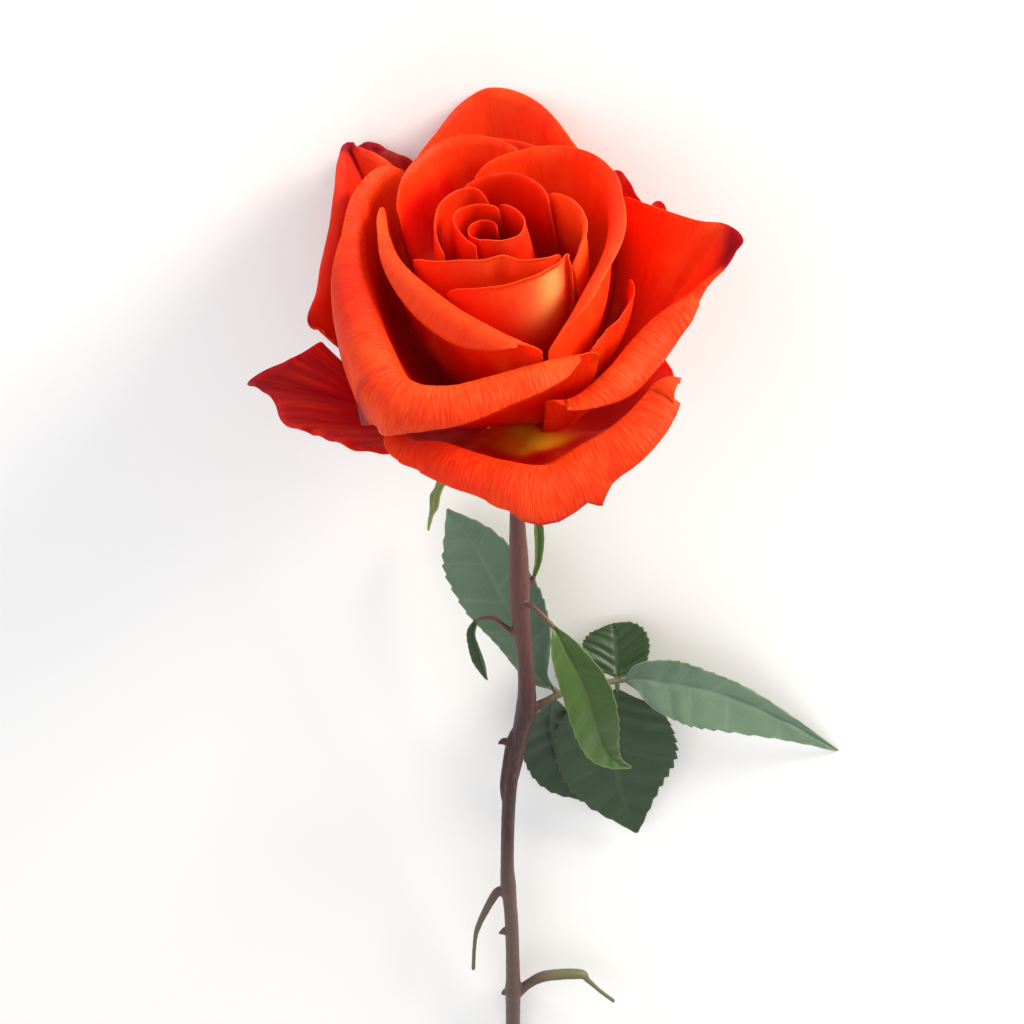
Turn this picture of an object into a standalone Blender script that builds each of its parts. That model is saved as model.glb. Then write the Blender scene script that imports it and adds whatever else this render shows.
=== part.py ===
"""A cut rose lying on its side: bloom, calyx, stem and leaves, in metres with +Z up.

The flower is described in its own frame: the origin is where the petals join the
receptacle, +Z runs up the bloom, and the stem runs down -Z. Two empties turn that
frame: "bloom" nods the petals over the stem, and "flower" lays the whole rose down.
Lengths below are in millimetres, angles in degrees; MM turns them into metres.
"""

import math
from dataclasses import dataclass

import bmesh
import bpy
from mathutils import Matrix, Vector

MM = 0.001

# How the rose lies, and how the bloom sits on its stem
LIE_TILT = 7.15
LIE_ROLL = -0.1
REST_AT = (-16.19, 90.29, 32.31)
BLOOM_NOD = 7.0
BLOOM_LEAN = 4.5

# Blade thicknesses, and the gap that parts two touching pieces
PETAL_THICK = 0.7
LEAF_THICK = 0.65
SEPAL_THICK = 0.8
GAP = 0.3

# Receptacle dome that carries the petals
DOME_TOP = 1.6
DOME_DROP = 0.05
SEAT_RISE = 0.75

# Shares of a petal's wall: how far its tangents reach, how fast it narrows to its claw
TANGENT_REACH = 0.38
CLAW_POWER = 2.2
WALL_ROWS = 5

# Receptacle below the dome: (radius, height) down its outer side
RECEPTACLE_RIM = 7.5
RECEPTACLE_SIDE = ((7.7, -1.9), (7.1, -3.6), (5.9, -6.6), (4.2, -9.6), (2.8, -11.8), (2.3, -12.8))
RECEPTACLE_FACES = 20

# Sepals, turned back below the petals: azimuth, then radius and height of the tip
SEPALS = ((203, 24.2, -27.0), (285, 25.0, -11.0), (357, 27.0, -13.5), (69, 24.0, -16.0),
          (141, 23.0, -19.0))
SEPAL_FOOT = (7.78, -3.0)
SEPAL_HALF_WIDTHS = (2.6, 3.3, 3.5, 3.2, 2.7, 3.6, 2.0, 1.5, 2.3, 1.0, 0.7, 0.3)

# Leaf blades: columns across, and how far a tooth notch cuts into the margin
LEAF_COLUMNS = 4
TOOTH_NOTCH = 0.08
TOOTH_SLANT = 0.06

# Colours, as linear RGB
ORANGE_RED = (0.80, 0.045, 0.008)
DEEP_RED = (0.50, 0.012, 0.004)
CRIMSON = (0.22, 0.010, 0.012)
LEAF_GREEN = (0.055, 0.095, 0.045)
GREY_GREEN = (0.110, 0.160, 0.115)
YOUNG_GREEN = (0.060, 0.130, 0.020)
SEPAL_GREEN = (0.110, 0.150, 0.025)
STEM_BROWN = (0.090, 0.045, 0.040)


@dataclass(frozen=True)
class Petal:
    """One petal: a wall from its claw to its crest, then a lip that rolls outwards.

    Each crest point is (azimuth, radius, height, arrival angle of the wall, lip length).
    """

    name: str
    claw: tuple  # azimuth, radius, span
    depart: float  # angle of the wall above level where it leaves the claw
    roll: tuple  # radius and turn of the lip
    crest: tuple
    columns: int = 10
    lip_rows: int = 3
    shift: tuple = (0.0, 0.0)
    colour: tuple = ORANGE_RED


@dataclass(frozen=True)
class Leaf:
    """One blade on its own stalk: the stalk is fused to the stem, the blade sits past its end.

    Stalk points are (x, y, z, radius); midrib points are (x, y, z, half-width left, right).
    """

    name: str
    stalk: tuple
    midrib: tuple
    face: tuple  # the way the upper side faces
    teeth: int
    fold: float  # rise of the margins over the midrib, as a share of the half-width
    colour: tuple = LEAF_GREEN


PETALS = (
    # Outermost whorl
    Petal("petal_back_dome", (95, 6.9, 42), 22, (4.0, 60),
          ((52, 35, 36, 75, 1.5), (64.4, 35.7, 43, 72, 2), (79.5, 42.1, 48.8, 72, 2.5),
           (90, 45.2, 50.5, 72, 2.5), (98.6, 44, 49.3, 75, 2), (109.9, 39.3, 45.6, 78, 1.5),
           (121.3, 37.2, 41.3, 80, 1)),
          columns=12, lip_rows=2),
    Petal("petal_back_left_tip", (131, 7.0, 20), 14, (3.0, 60),
          ((110.1, 42, 31, 65, 1), (116.6, 46.7, 37, 65, 1), (121.6, 48.3, 40.5, 62, 1),
           (125.4, 50.6, 42.5, 60, 1.2), (128.3, 50.9, 41.5, 62, 1), (132, 49.5, 37, 65, 1),
           (136.7, 47.6, 31, 65, 1)),
          columns=8, lip_rows=1, colour=CRIMSON),
    Petal("petal_left_outer", (168, 7.0, 28), 14, (3.0, 120),
          ((121.5, 40.7, 37.5, 70, 1.5), (127.1, 45, 41.5, 64, 2), (130.1, 48.6, 43.3, 60, 2),
           (130.7, 51, 44.3, 58, 1.5), (135.4, 47.7, 43, 60, 2.5), (143.3, 42.6, 41, 66, 3),
           (154.5, 38.6, 38, 70, 3.5), (167.2, 36.9, 35, 70, 4), (177.1, 37.9, 31.5, 70, 3),
           (183.9, 40.4, 28.5, 60, 1.5), (185.5, 38.6, 25.5, 56, 1), (186.5, 36.5, 23.5, 52, 1)),
          columns=12),
    Petal("petal_left_low", (208, 7.2, 34), 2, (3.0, 50),
          ((180.5, 39.5, 21, 66, 1), (186.2, 42.6, 21.2, 52, 1), (189.5, 46.7, 21.2, 40, 1),
           (191, 51.2, 20.8, 30, 1), (192.9, 54.8, 20.4, 20, 1), (195.1, 52.5, 19.8, 20, 1),
           (198.6, 50.4, 18.8, 22, 1), (203.9, 50.3, 17.2, 25, 1.5), (206.8, 48.2, 16, 25, 1.5),
           (209, 45.1, 15, 25, 1.5), (212.8, 43.4, 14, 25, 1.5), (217.3, 41.1, 13, 25, 1.5),
           (222.8, 37.5, 12, 28, 1.2), (230.2, 33.7, 10.5, 30, 1), (240.9, 31.2, 9.5, 34, 1)),
          columns=14, lip_rows=1, colour=CRIMSON),
    Petal("petal_front_low", (281, 6.9, 94), 8, (5.5, 130),
          ((228, 36.5, 19.5, 55, 4), (237, 39, 21.5, 55, 8), (248, 38.5, 23, 54, 10.5),
           (258, 40.5, 23.5, 54, 11.5), (268, 43.5, 24, 52, 12.4), (278, 46.5, 24.5, 46, 16),
           (286, 45.5, 26, 48, 16), (297, 46.4, 29.5, 55, 12), (305, 45.7, 31.4, 60, 10.5),
           (309.5, 45, 32.1, 62, 8.2), (312.2, 44.5, 31.6, 64, 6.2), (314.2, 43.8, 29.6, 66, 4),
           (317.1, 42.7, 26, 68, 1.8), (327.7, 38, 21, 68, 1), (342.6, 32.9, 17, 66, 1),
           (362.8, 29.7, 13, 60, 1)),
          columns=18, lip_rows=4),
    Petal("petal_right_back", (28, 6.9, 44), 16, (3.0, 70),
          ((4, 37.9, 32, 70, 1), (11.4, 36.1, 36, 72, 1), (16.1, 35.2, 39, 70, 1),
           (20.4, 34.8, 40.5, 70, 1), (19.9, 32.8, 39.8, 72, 1), (21.3, 31.4, 40, 74, 1),
           (26.5, 31.1, 41, 76, 1.2), (33.8, 31.8, 42.3, 74, 1.5), (41.8, 32.8, 42.6, 74, 1.2),
           (46.1, 31.8, 40, 76, 1), (52.1, 32.7, 34, 78, 1)),
          lip_rows=1, colour=DEEP_RED),
    # Second whorl
    Petal("petal_front_rolled", (225, 5.6, 64), 30, (4.5, 165),
          ((125.7, 35.9, 43.5, 86, 2), (135.3, 35.2, 45, 85, 3.5), (148.7, 33.4, 45, 85, 4.5),
           (169.6, 30.3, 44, 85, 6.5), (192.6, 29.2, 42.3, 84, 10), (211.2, 30.8, 41, 82, 12.5),
           (226.4, 34.2, 39.6, 76, 18.5), (235.7, 37.8, 38.4, 67, 22.5),
           (241.3, 39.6, 37.4, 67, 18.5), (247, 39.6, 36.6, 72, 14.5), (254, 38.2, 36.1, 74, 13),
           (266.1, 34.8, 36, 78, 11.8), (278.9, 33.2, 36.2, 80, 10.8), (289.9, 32.9, 36.1, 80, 9),
           (303, 34.1, 35.6, 80, 4.5)),
          columns=17, lip_rows=4),
    Petal("petal_right_wide", (321, 5.6, 58), 21, (3.6, 172),
          ((282.8, 32.2, 26, 75, 2.5), (291.8, 34.4, 27.4, 75, 6.5), (304.7, 34, 29.8, 74, 10),
           (318.3, 33.4, 32.4, 74, 11.5), (329.1, 34.5, 34.4, 71, 10.8),
           (336.8, 37.3, 35.9, 67, 8.2), (343.2, 40.6, 37.2, 61, 5), (348, 43.8, 38.6, 54, 2.2),
           (352, 46.1, 39.8, 50, 1), (356.1, 47.5, 40.6, 50, 1), (360.3, 44.6, 41.6, 58, 1),
           (361.1, 39.3, 42.4, 68, 1.2), (367.5, 33.7, 42.9, 76, 1.2), (378.8, 29.3, 42.8, 82, 1),
           (387.6, 28.1, 42, 84, 1)),
          columns=18, lip_rows=4),
    Petal("petal_right_mid", (380, 5.6, 20), 46, (2.5, 60),
          ((304.2, 28.8, 31, 84, 1), (309.1, 28.3, 31.6, 84, 1), (314, 27.8, 32.2, 84, 1),
           (319, 28, 32.8, 84, 1), (329, 27.6, 32.8, 84, 1), (344, 26.8, 32, 84, 1),
           (360, 25.6, 31, 84, 1)),
          columns=8, lip_rows=1),
    Petal("petal_back_mid", (88, 5.6, 50), 32, (3.0, 60),
          ((56, 31.5, 38.0, 84, 1.0), (70, 33.0, 42.0, 84, 1.5), (87, 34.3, 44.3, 84, 2.0),
           (102, 35.0, 44.8, 84, 2.0), (114, 34.6, 43.0, 84, 1.0)),
          columns=8, lip_rows=1),
    # Third whorl
    Petal("petal_back_left", (118, 4.4, 56), 42, (3.0, 90),
          ((77.4, 25.1, 46.4, 88, 1.5), (91.3, 27.8, 48.3, 88, 2), (102.2, 29.7, 48.8, 88, 2.5),
           (113.4, 30.2, 48.6, 88, 2.5), (126.6, 28.1, 48, 88, 2.5), (140, 26.1, 47, 88, 1.5),
           (154.5, 23.5, 44.6, 90, 1)), lip_rows=2),
    Petal("petal_right_flared", (375, 4.4, 84), 42, (5.0, 85),
          ((285.4, 31.9, 37.6, 82, 2.5), (295, 28.6, 39.3, 86, 5), (307.4, 26.1, 41.5, 90, 7),
           (324.4, 24.4, 44, 92, 7), (345, 23.7, 45.7, 92, 7), (365.9, 23.9, 46.8, 92, 6),
           (384.8, 25.5, 48, 90, 4.5), (405.2, 26.2, 49, 88, 2.5), (423.2, 24, 49.4, 90, 2),
           (438.6, 21.2, 49.4, 92, 1.5), (454.4, 18.7, 48.8, 94, 1.5), (467, 17.3, 47.3, 95, 1)),
          columns=16),
    Petal("petal_left_rolled", (222, 4.4, 76), 42, (2.6, 150),
          ((149.4, 28, 43.2, 90, 1.5), (164.1, 25.2, 45, 92, 3), (187.5, 22.5, 44.4, 95, 5),
           (216.2, 21.4, 43.5, 97, 8), (238, 22.5, 42.7, 96, 9.5), (258.9, 25.6, 41.3, 92, 9.5),
           (272, 28.9, 40.1, 84, 6.5), (280.1, 31.6, 39, 74, 2.5), (283, 32.4, 37.6, 68, 1)),
          columns=14),
    # Fourth whorl
    Petal("petal_front_mid", (272, 3.3, 84), 52, (1.5, 90),
          ((237.5, 20.0, 42, 96, 0.8), (246, 20.1, 43.2, 97, 1.2), (261.3, 20.6, 44.7, 98, 1.6),
           (276.3, 20.4, 45.3, 98, 1.6), (290.5, 20.1, 45.7, 97, 1.4), (304, 19.2, 45.9, 96, 1),
           (315.7, 18.1, 45.8, 96, 0.8), (313.8, 19.9, 44.6, 96, 0.8)),
          columns=10, lip_rows=1),
    Petal("petal_right_small", (360, 3.3, 72), 54, (1.5, 110),
          ((317.2, 19.3, 44.2, 96, 1.4), (327.2, 18.9, 45.8, 96, 1.8), (340.2, 18, 47.1, 97, 1.8),
           (353.2, 16.9, 47.9, 98, 1.5), (366.7, 15.3, 48.4, 98, 1), (378.4, 13.4, 48.7, 98, 1),
           (392.5, 12, 48, 98, 0.8)),
          columns=10, lip_rows=1),
    Petal("petal_back_inner", (96, 3.3, 74), 57, (1.5, 60),
          ((17, 10.7, 48.2, 98, 0.8), (40.3, 11.3, 49.2, 98, 1), (60.9, 12.1, 49.5, 98, 1),
           (78.9, 12.9, 49.5, 98, 1), (96.2, 13.1, 49.1, 98, 1), (111.3, 13.7, 48.2, 97, 1),
           (122.1, 14.1, 47, 96, 0.8)),
          columns=10, lip_rows=1),
    # Fifth whorl
    Petal("petal_front_inner", (266, 2.3, 120), 58, (1.5, 40),
          ((203.7, 18.9, 44.3, 96, 0.8), (216.2, 17.8, 45.3, 97, 0.8),
           (234.8, 15.9, 46.3, 98, 0.8), (255.4, 14.7, 46.9, 98, 0.8),
           (273.9, 13.7, 47.3, 98, 0.8), (288.4, 16.1, 46.9, 98, 0.8),
           (301.7, 17.6, 46.8, 97, 0.8), (314.4, 17.0, 46, 96, 0.8)),
          columns=10, lip_rows=1),
    Petal("petal_left_inner", (156, 2.3, 80), 60, (1.5, 40),
          ((104.7, 9.2, 45.4, 98, 0.8), (115.5, 11.5, 48, 98, 0.8), (128.5, 12.4, 48.4, 98, 0.8),
           (144.8, 12.6, 48.5, 98, 0.8), (163.4, 12.6, 48.4, 98, 0.8), (181.8, 12.8, 48, 98, 0.8),
           (202.6, 13.6, 47.4, 98, 0.8), (220.8, 14.5, 46.4, 97, 0.8)),
          columns=10, lip_rows=1),
    Petal("petal_heart_left", (150, 1.35, 120), 64, (1.5, 30),
          ((62, 4.9, 48.0, 96, 0.6), (90, 6.2, 48.0, 97, 0.6), (117, 7.2, 48.0, 98, 0.6),
           (150, 7.6, 48.0, 98, 0.6), (188, 6.5, 47.8, 98, 0.6), (222, 6.4, 47.5, 97, 0.6),
           (250, 7.1, 47.0, 96, 0.6)),
          columns=9, lip_rows=1, shift=(-2.2, -2.2)),
    Petal("petal_heart_right", (335, 1.35, 120), 64, (1.5, 30),
          ((250, 4.9, 47.0, 96, 0.6), (277, 5.9, 47.3, 97, 0.6), (300, 7.1, 47.2, 98, 0.6),
           (325, 7.8, 47.3, 98, 0.6), (350, 7.5, 47.6, 98, 0.6), (375, 7.1, 47.9, 98, 0.6),
           (402, 6.8, 48.0, 97, 0.6), (430, 7.0, 47.8, 96, 0.6)),
          columns=10, lip_rows=1, shift=(-2.2, -2.2)),
    Petal("petal_bud", (165, 0.45, 150), 70, (1.0, 30),
          ((20, 2.0, 44.8, 95, 0.5), (80, 3.4, 45.8, 97, 0.5), (140, 3.9, 46.0, 97, 0.5),
           (200, 3.8, 45.8, 97, 0.5), (260, 3.5, 45.4, 97, 0.5), (310, 3.7, 45.0, 96, 0.5)),
          columns=10, lip_rows=1, shift=(-2.4, -1.8), colour=DEEP_RED),
)


LEAVES = (
    Leaf("leaflet_pair_upper", ((11.0, 3.0, -87.9, 0.8), (9.0, 4.0, -86.6, 0.65)),
         ((4.9, 6.0, -83.1, 3.5, 4.0), (0.9, 9.0, -72.5, 7.5, 9.0), (-4.1, 12.0, -62.5, 10.6, 11.5),
          (-10.0, 16.0, -51.6, 9.6, 8.5), (-16.9, 20.0, -42.6, 0.3, 0.3)),
         (-0.35, -0.85, 0.35), 9, 0.16, GREY_GREEN),
    Leaf("leaflet_pair_lower", ((11.0, 3.0, -87.9, 0.8), (9.2, 4.6, -90.6, 0.65)),
         ((8.8, 9.5, -103.3, 7.5, 6.0), (10.4, 12.5, -116.0, 9.5, 9.0),
          (15.3, 13.6, -127.6, 8.0, 8.0), (24.8, 13.6, -138.4, 0.3, 0.3)),
         (0.1, -0.95, -0.2), 8, 0.14),
    Leaf("leaflet_upper", ((25.5, 6.5, -86.6, 0.7), (25.5, 8.6, -87.0, 0.6)),
         ((25.6, 10.2, -86.8, 6.2, 6.2), (25.6, 12.8, -84.2, 8.2, 8.4),
          (25.4, 15.6, -81.4, 8.6, 8.6), (25.0, 18.0, -79.6, 6.2, 6.2),
          (24.6, 20.0, -79.0, 0.3, 0.3)),
         (0.0, -0.8, 0.6), 7, 0.12),
    Leaf("leaflet_lower", ((25.5, 6.5, -86.6, 0.7), (25.8, 7.4, -90.6, 0.6)),
         ((25.2, 7.7, -94.2, 10.0, 10.0), (25.2, 8.0, -102.0, 15.0, 15.0),
          (26.2, 8.8, -115.0, 16.6, 15.5),
          (28.3, 9.8, -129.0, 11.2, 11.0), (33.6, 10.6, -147.0, 0.3, 0.3)),
         (0.05, -1.0, -0.1), 9, 0.12),
    Leaf("leaflet_end", ((25.5, 6.5, -86.6, 0.7), (27.6, 6.4, -86.3, 0.6)),
         ((31.7, 6.0, -85.5, 5.4, 4.4), (38.4, 6.0, -87.2, 7.6, 8.2),
          (46.8, 6.8, -89.6, 5.8, 10.2), (57.8, 9.4, -96.2, 4.4, 8.8),
          (73.0, 13.2, -108.3, 2.2, 4.6), (87.5, 17.1, -121.7, 0.3, 0.3)),
         (0.1, -1.0, 0.3), 9, 0.18, GREY_GREEN),
    Leaf("leaf_front", ((0.9, -1.0, -55.2, 0.8), (2.3, -2.6, -54.3, 0.65), (4.1, -4.0, -54.0, 0.6),
                        (7.4, -6.0, -56.4, 0.6), (8.8, -7.0, -57.6, 0.6)),
         ((11.6, -9.5, -62.5, 3.6, 4.0), (16.0, -12.0, -71.5, 5.8, 6.0),
          (19.0, -12.0, -82.5, 5.6, 6.2), (21.2, -10.0, -92.5, 4.2, 4.8),
          (24.4, -8.0, -100.0, 2.0, 2.4), (29.2, -5.0, -105.9, 0.3, 0.3)),
         (0.3, -0.95, 0.0), 7, 0.35, YOUNG_GREEN),
    Leaf("leaf_curled", ((0.2, 0.0, -66.0, 0.75), (-2.2, -0.5, -63.3, 0.6), (-5.4, -1.0, -59.8, 0.5),
                         (-8.3, 0.0, -60.6, 0.5), (-9.8, 0.7, -62.0, 0.5)),
         ((-10.8, 1.5, -66.1, 1.3, 1.2), (-10.1, 1.5, -70.3, 1.7, 1.7),
          (-8.8, 2.0, -76.3, 1.7, 1.7), (-7.4, 3.0, -83.1, 0.3, 0.3)),
         (-0.5, -0.9, 0.0), 5, 0.5),
    Leaf("leaf_bract", ((1.4, 0.5, -53.0, 0.8), (3.4, 1.0, -50.6, 0.7), (4.1, 1.4, -48.6, 0.6)),
         ((4.9, 1.8, -44.4, 1.0, 1.0), (5.1, 2.2, -38.9, 1.3, 1.3), (4.9, 2.8, -33.5, 1.1, 1.1),
          (5.8, 3.2, -26.8, 0.3, 0.3)),
         (0.5, -0.85, 0.0), 4, 0.4, YOUNG_GREEN),
)

# Stem, top to cut end, and what grows from it, as (x, y, z, radius)
STEM = (
    (1.0, 1.6, -13.4, 2.3), (0.6, 0.9, -20.0, 1.8), (0.1, 0.2, -29.0, 1.75), (0.5, 0.0, -43.0, 2.3),
    (0.6, 0.0, -52.0, 2.45), (1.0, 0.0, -61.0, 2.3), (2.1, 0.0, -74.0, 2.0),
    (2.6, 0.0, -84.0, 2.3), (2.3, 0.0, -91.0, 2.6), (1.0, 0.0, -98.0, 2.1),
    (-0.6, 0.0, -108.0, 1.9), (-1.9, 0.0, -123.0, 1.85), (-2.4, 0.0, -146.0, 1.85),
    (-2.1, 0.0, -157.0, 2.2), (-1.7, 0.0, -163.0, 1.95), (-1.1, 0.0, -176.0, 1.95),
    (-0.8, 0.0, -196.0, 2.1), (-0.7, 0.0, -202.0, 2.55), (-0.8, 0.0, -209.0, 2.2),
    (-0.8, 0.0, -243.0, 2.15),
)
GROWTH = (
    # Leaf axis
    ((2.3, 0.0, -93.0, 1.3), (5.0, 0.8, -90.2, 1.2), (7.6, 1.6, -88.9, 0.95),
     (11.0, 3.0, -87.9, 0.85), (18.6, 5.0, -86.6, 0.75), (25.5, 6.5, -86.6, 0.75)),
    # Stipule that runs down the right of the stem, and the bark strip down its left
    ((4.6, 0.8, -91.0, 0.9), (3.0, 1.0, -97.0, 0.9), (1.7, 1.0, -105.0, 0.85),
     (0.2, 0.6, -115.0, 0.5)),
    ((0.4, 0.0, -96.0, 0.9), (-1.6, 0.0, -101.0, 0.9), (-2.9, 0.0, -111.0, 0.9),
     (-3.5, 0.0, -119.0, 0.8), (-2.6, 0.0, -128.0, 0.5)),
    # Short side shoots
    ((-1.9, 0.0, -161.0, 1.5), (-4.6, 0.0, -158.6, 1.3), (-7.2, 0.0, -163.5, 1.15),
     (-10.6, 0.0, -173.6, 0.85), (-11.7, 0.0, -180.5, 0.6), (-12.3, 0.0, -192.5, 0.6)),
    ((-0.6, 0.0, -205.0, 1.7), (4.0, 0.0, -199.0, 1.4), (9.0, 0.0, -195.6, 1.6),
     (18.6, 0.0, -194.8, 1.45), (21.0, 0.0, -197.6, 0.8), (25.0, 0.0, -202.9, 0.6),
     (29.0, 0.0, -207.4, 0.6)),
    # Thorns and bud scales
    ((-1.4, 0.0, -102.0, 1.3), (-3.4, 0.0, -101.4, 0.9), (-4.6, 0.0, -102.4, 0.25)),
    ((-1.2, 0.0, -176.0, 2.0), (-3.0, 0.0, -175.6, 1.3), (-4.9, 0.0, -176.8, 0.25)),
    ((-0.9, 0.0, -203.0, 1.9), (-2.6, 0.0, -202.6, 1.2), (-4.0, 0.0, -204.0, 0.5)),
    ((-0.9, 0.8, -222.0, 1.7), (0.6, -2.2, -221.6, 1.0), (1.4, -4.0, -222.8, 0.25)),
)


def clear_scene():
    for item in list(bpy.data.objects):
        bpy.data.objects.remove(item, do_unlink=True)


def material(name, colour, roughness):
    made = bpy.data.materials.new(name)
    made.use_nodes = True
    shader = made.node_tree.nodes["Principled BSDF"]
    shader.inputs["Base Color"].default_value = (*colour, 1.0)
    shader.inputs["Roughness"].default_value = roughness
    return made


def add_mesh(name, mesh, collection, parent, finish):
    """Puts a mesh in the collection under an empty, shaded smooth."""
    made = bpy.data.objects.new(name, mesh)
    collection.objects.link(made)
    made.parent = parent
    mesh.materials.append(finish)
    mesh.shade_smooth()
    return made


def through(points, share):
    """A Catmull-Rom curve through points of any size, at a share 0 to 1 of its length."""
    place = share * (len(points) - 1)
    first = min(int(place), len(points) - 2)
    t = place - first
    b, c = points[first], points[first + 1]
    a = points[first - 1] if first > 0 else [2 * p - q for p, q in zip(b, c)]
    d = points[first + 2] if first + 2 < len(points) else [2 * q - p for p, q in zip(b, c)]
    return [
        0.5 * (2 * q + (r - p) * t + (2 * p - 5 * q + 4 * r - s) * t**2
               + (3 * q - 3 * r + s - p) * t**3)
        for p, q, r, s in zip(a, b, c, d)
    ]


def dome_height(radius):
    return DOME_TOP - DOME_DROP * radius**2


def polar(azimuth, radius, height):
    turn = math.radians(azimuth)
    return Vector((radius * math.cos(turn), radius * math.sin(turn), height))


def wall_end(petal, share):
    """Where the wall ends and the lip starts: the crest less the lip's own rise."""
    azimuth, radius, height, arrive, lip = through(petal.crest, share)
    sink = min(petal.roll[0], 2 * lip / math.pi)
    return azimuth, radius - 0.5 * sink, height - 0.87 * sink, arrive, lip


def wall_point(petal, share, rise):
    """A point on the wall, 0 at the claw to 1 at its end, and the way it is going there."""
    azimuth, radius, height, arrive, _ = wall_end(petal, share)
    claw_azimuth, claw_radius, claw_span = petal.claw
    foot = (claw_radius, dome_height(claw_radius) + SEAT_RISE)
    reach = TANGENT_REACH * math.hypot(radius - foot[0], height - foot[1])
    leave, reached = math.radians(petal.depart), math.radians(arrive)
    near = (foot[0] + reach * math.cos(leave), foot[1] + reach * math.sin(leave))
    far = (radius - reach * math.cos(reached), height - reach * math.sin(reached))
    weights = ((1 - rise) ** 3, 3 * rise * (1 - rise) ** 2, 3 * rise**2 * (1 - rise), rise**3)
    out, up = (
        sum(w * p for w, p in zip(weights, column))
        for column in zip(foot, near, far, (radius, height))
    )
    claw = claw_azimuth + claw_span * (share - 0.5)
    turned = azimuth + (claw - azimuth) * (1 - rise) ** CLAW_POWER
    lean = up / height
    return polar(turned, out, up) + Vector((petal.shift[0] * lean, petal.shift[1] * lean, 0))


def petal_point(petal, share, rise):
    """A point of the petal: rise 0 to 1 is the wall, and 1 to 2 the lip."""
    if rise <= 1:
        return wall_point(petal, share, rise)
    step = 0.004
    low, high = max(share - step, 0), min(share + step, 1)
    along = (wall_point(petal, high, 1) - wall_point(petal, low, 1)).normalized()
    azimuth, _, _, arrive, lip = wall_end(petal, share)
    going = polar(azimuth, math.cos(math.radians(arrive)), math.sin(math.radians(arrive)))
    outward = along.cross(going).normalized()
    going = outward.cross(along).normalized()
    radius, most = petal.roll[0], math.radians(petal.roll[1])
    run = (rise - 1) * lip
    turn = min(run / radius, most)
    straight = max(run - radius * most, 0)
    ahead = radius * math.sin(turn) + straight * math.cos(turn)
    aside = radius * (1 - math.cos(turn)) + straight * math.sin(turn)
    return wall_point(petal, share, 1) + going * ahead + outward * aside


def sheet(name, columns, rows, place, thickness, collection, parent, finish):
    """A grid moved into place by a function of its two shares, then given a thickness."""
    shape = bmesh.new()
    bmesh.ops.create_grid(shape, x_segments=columns, y_segments=rows, size=1)
    for vertex in shape.verts:
        vertex.co = place((vertex.co.x + 1) / 2, (vertex.co.y + 1) / 2) * MM
    bmesh.ops.triangulate(shape, faces=shape.faces)
    mesh = bpy.data.meshes.new(name)
    shape.to_mesh(mesh)
    shape.free()
    made = add_mesh(name, mesh, collection, parent, finish)
    solid = made.modifiers.new("Thickness", "SOLIDIFY")
    solid.thickness = thickness * MM
    solid.offset = 0
    return made


def add_petal(petal, collection, parent):
    rows = WALL_ROWS + petal.lip_rows

    def place(share, row_share):
        row = row_share * rows
        rise = row / WALL_ROWS if row <= WALL_ROWS else 1 + (row - WALL_ROWS) / petal.lip_rows
        return petal_point(petal, share, min(rise, 2))

    finish = material(petal.name, petal.colour, 0.55)
    sheet(petal.name, petal.columns, rows, place, PETAL_THICK, collection, parent, finish)


def add_receptacle(collection, parent):
    """The receptacle: a profile turned about the bloom axis, domed where the petals sit."""
    steps = 4
    dome = [RECEPTACLE_RIM * step / steps for step in range(steps + 1)]
    profile = [(radius, dome_height(radius)) for radius in dome] + list(RECEPTACLE_SIDE)
    profile.append((0, RECEPTACLE_SIDE[-1][1]))
    mesh = bpy.data.meshes.new("receptacle")
    points = [(radius * MM, 0, height * MM) for radius, height in profile]
    mesh.from_pydata(points, [(n, n + 1) for n in range(len(points) - 1)], [])
    made = add_mesh("receptacle", mesh, collection, parent,
                    material("receptacle", SEPAL_GREEN, 0.6))
    screw = made.modifiers.new("Turn", "SCREW")
    screw.steps = screw.render_steps = RECEPTACLE_FACES
    screw.use_merge_vertices = True
    screw.merge_threshold = 0.0001
    screw.use_smooth_shade = True


def add_sepal(number, sepal, collection, parent):
    """A pointed, lobed sepal that turns back from the receptacle."""
    turn, *tip = sepal
    rows = len(SEPAL_HALF_WIDTHS) - 1
    near = (SEPAL_FOOT[0] + 9.0, SEPAL_FOOT[1] - 1.0)
    far = (tip[0] - 2.0, tip[1] + 7.0)
    side = polar(turn + 90, 1, 0)

    def place(across, along):
        weights = ((1 - along) ** 3, 3 * along * (1 - along) ** 2, 3 * along**2 * (1 - along),
                   along**3)
        out, up = (
            sum(w * p for w, p in zip(weights, column))
            for column in zip(SEPAL_FOOT, near, far, tip)
        )
        half = SEPAL_HALF_WIDTHS[round(along * rows)]
        return polar(turn, out, up) + side * (2 * across - 1) * half

    sheet(f"sepal_{number}", 2, rows, place, SEPAL_THICK, collection, parent,
          material(f"sepal_{number}", SEPAL_GREEN, 0.6))


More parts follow.
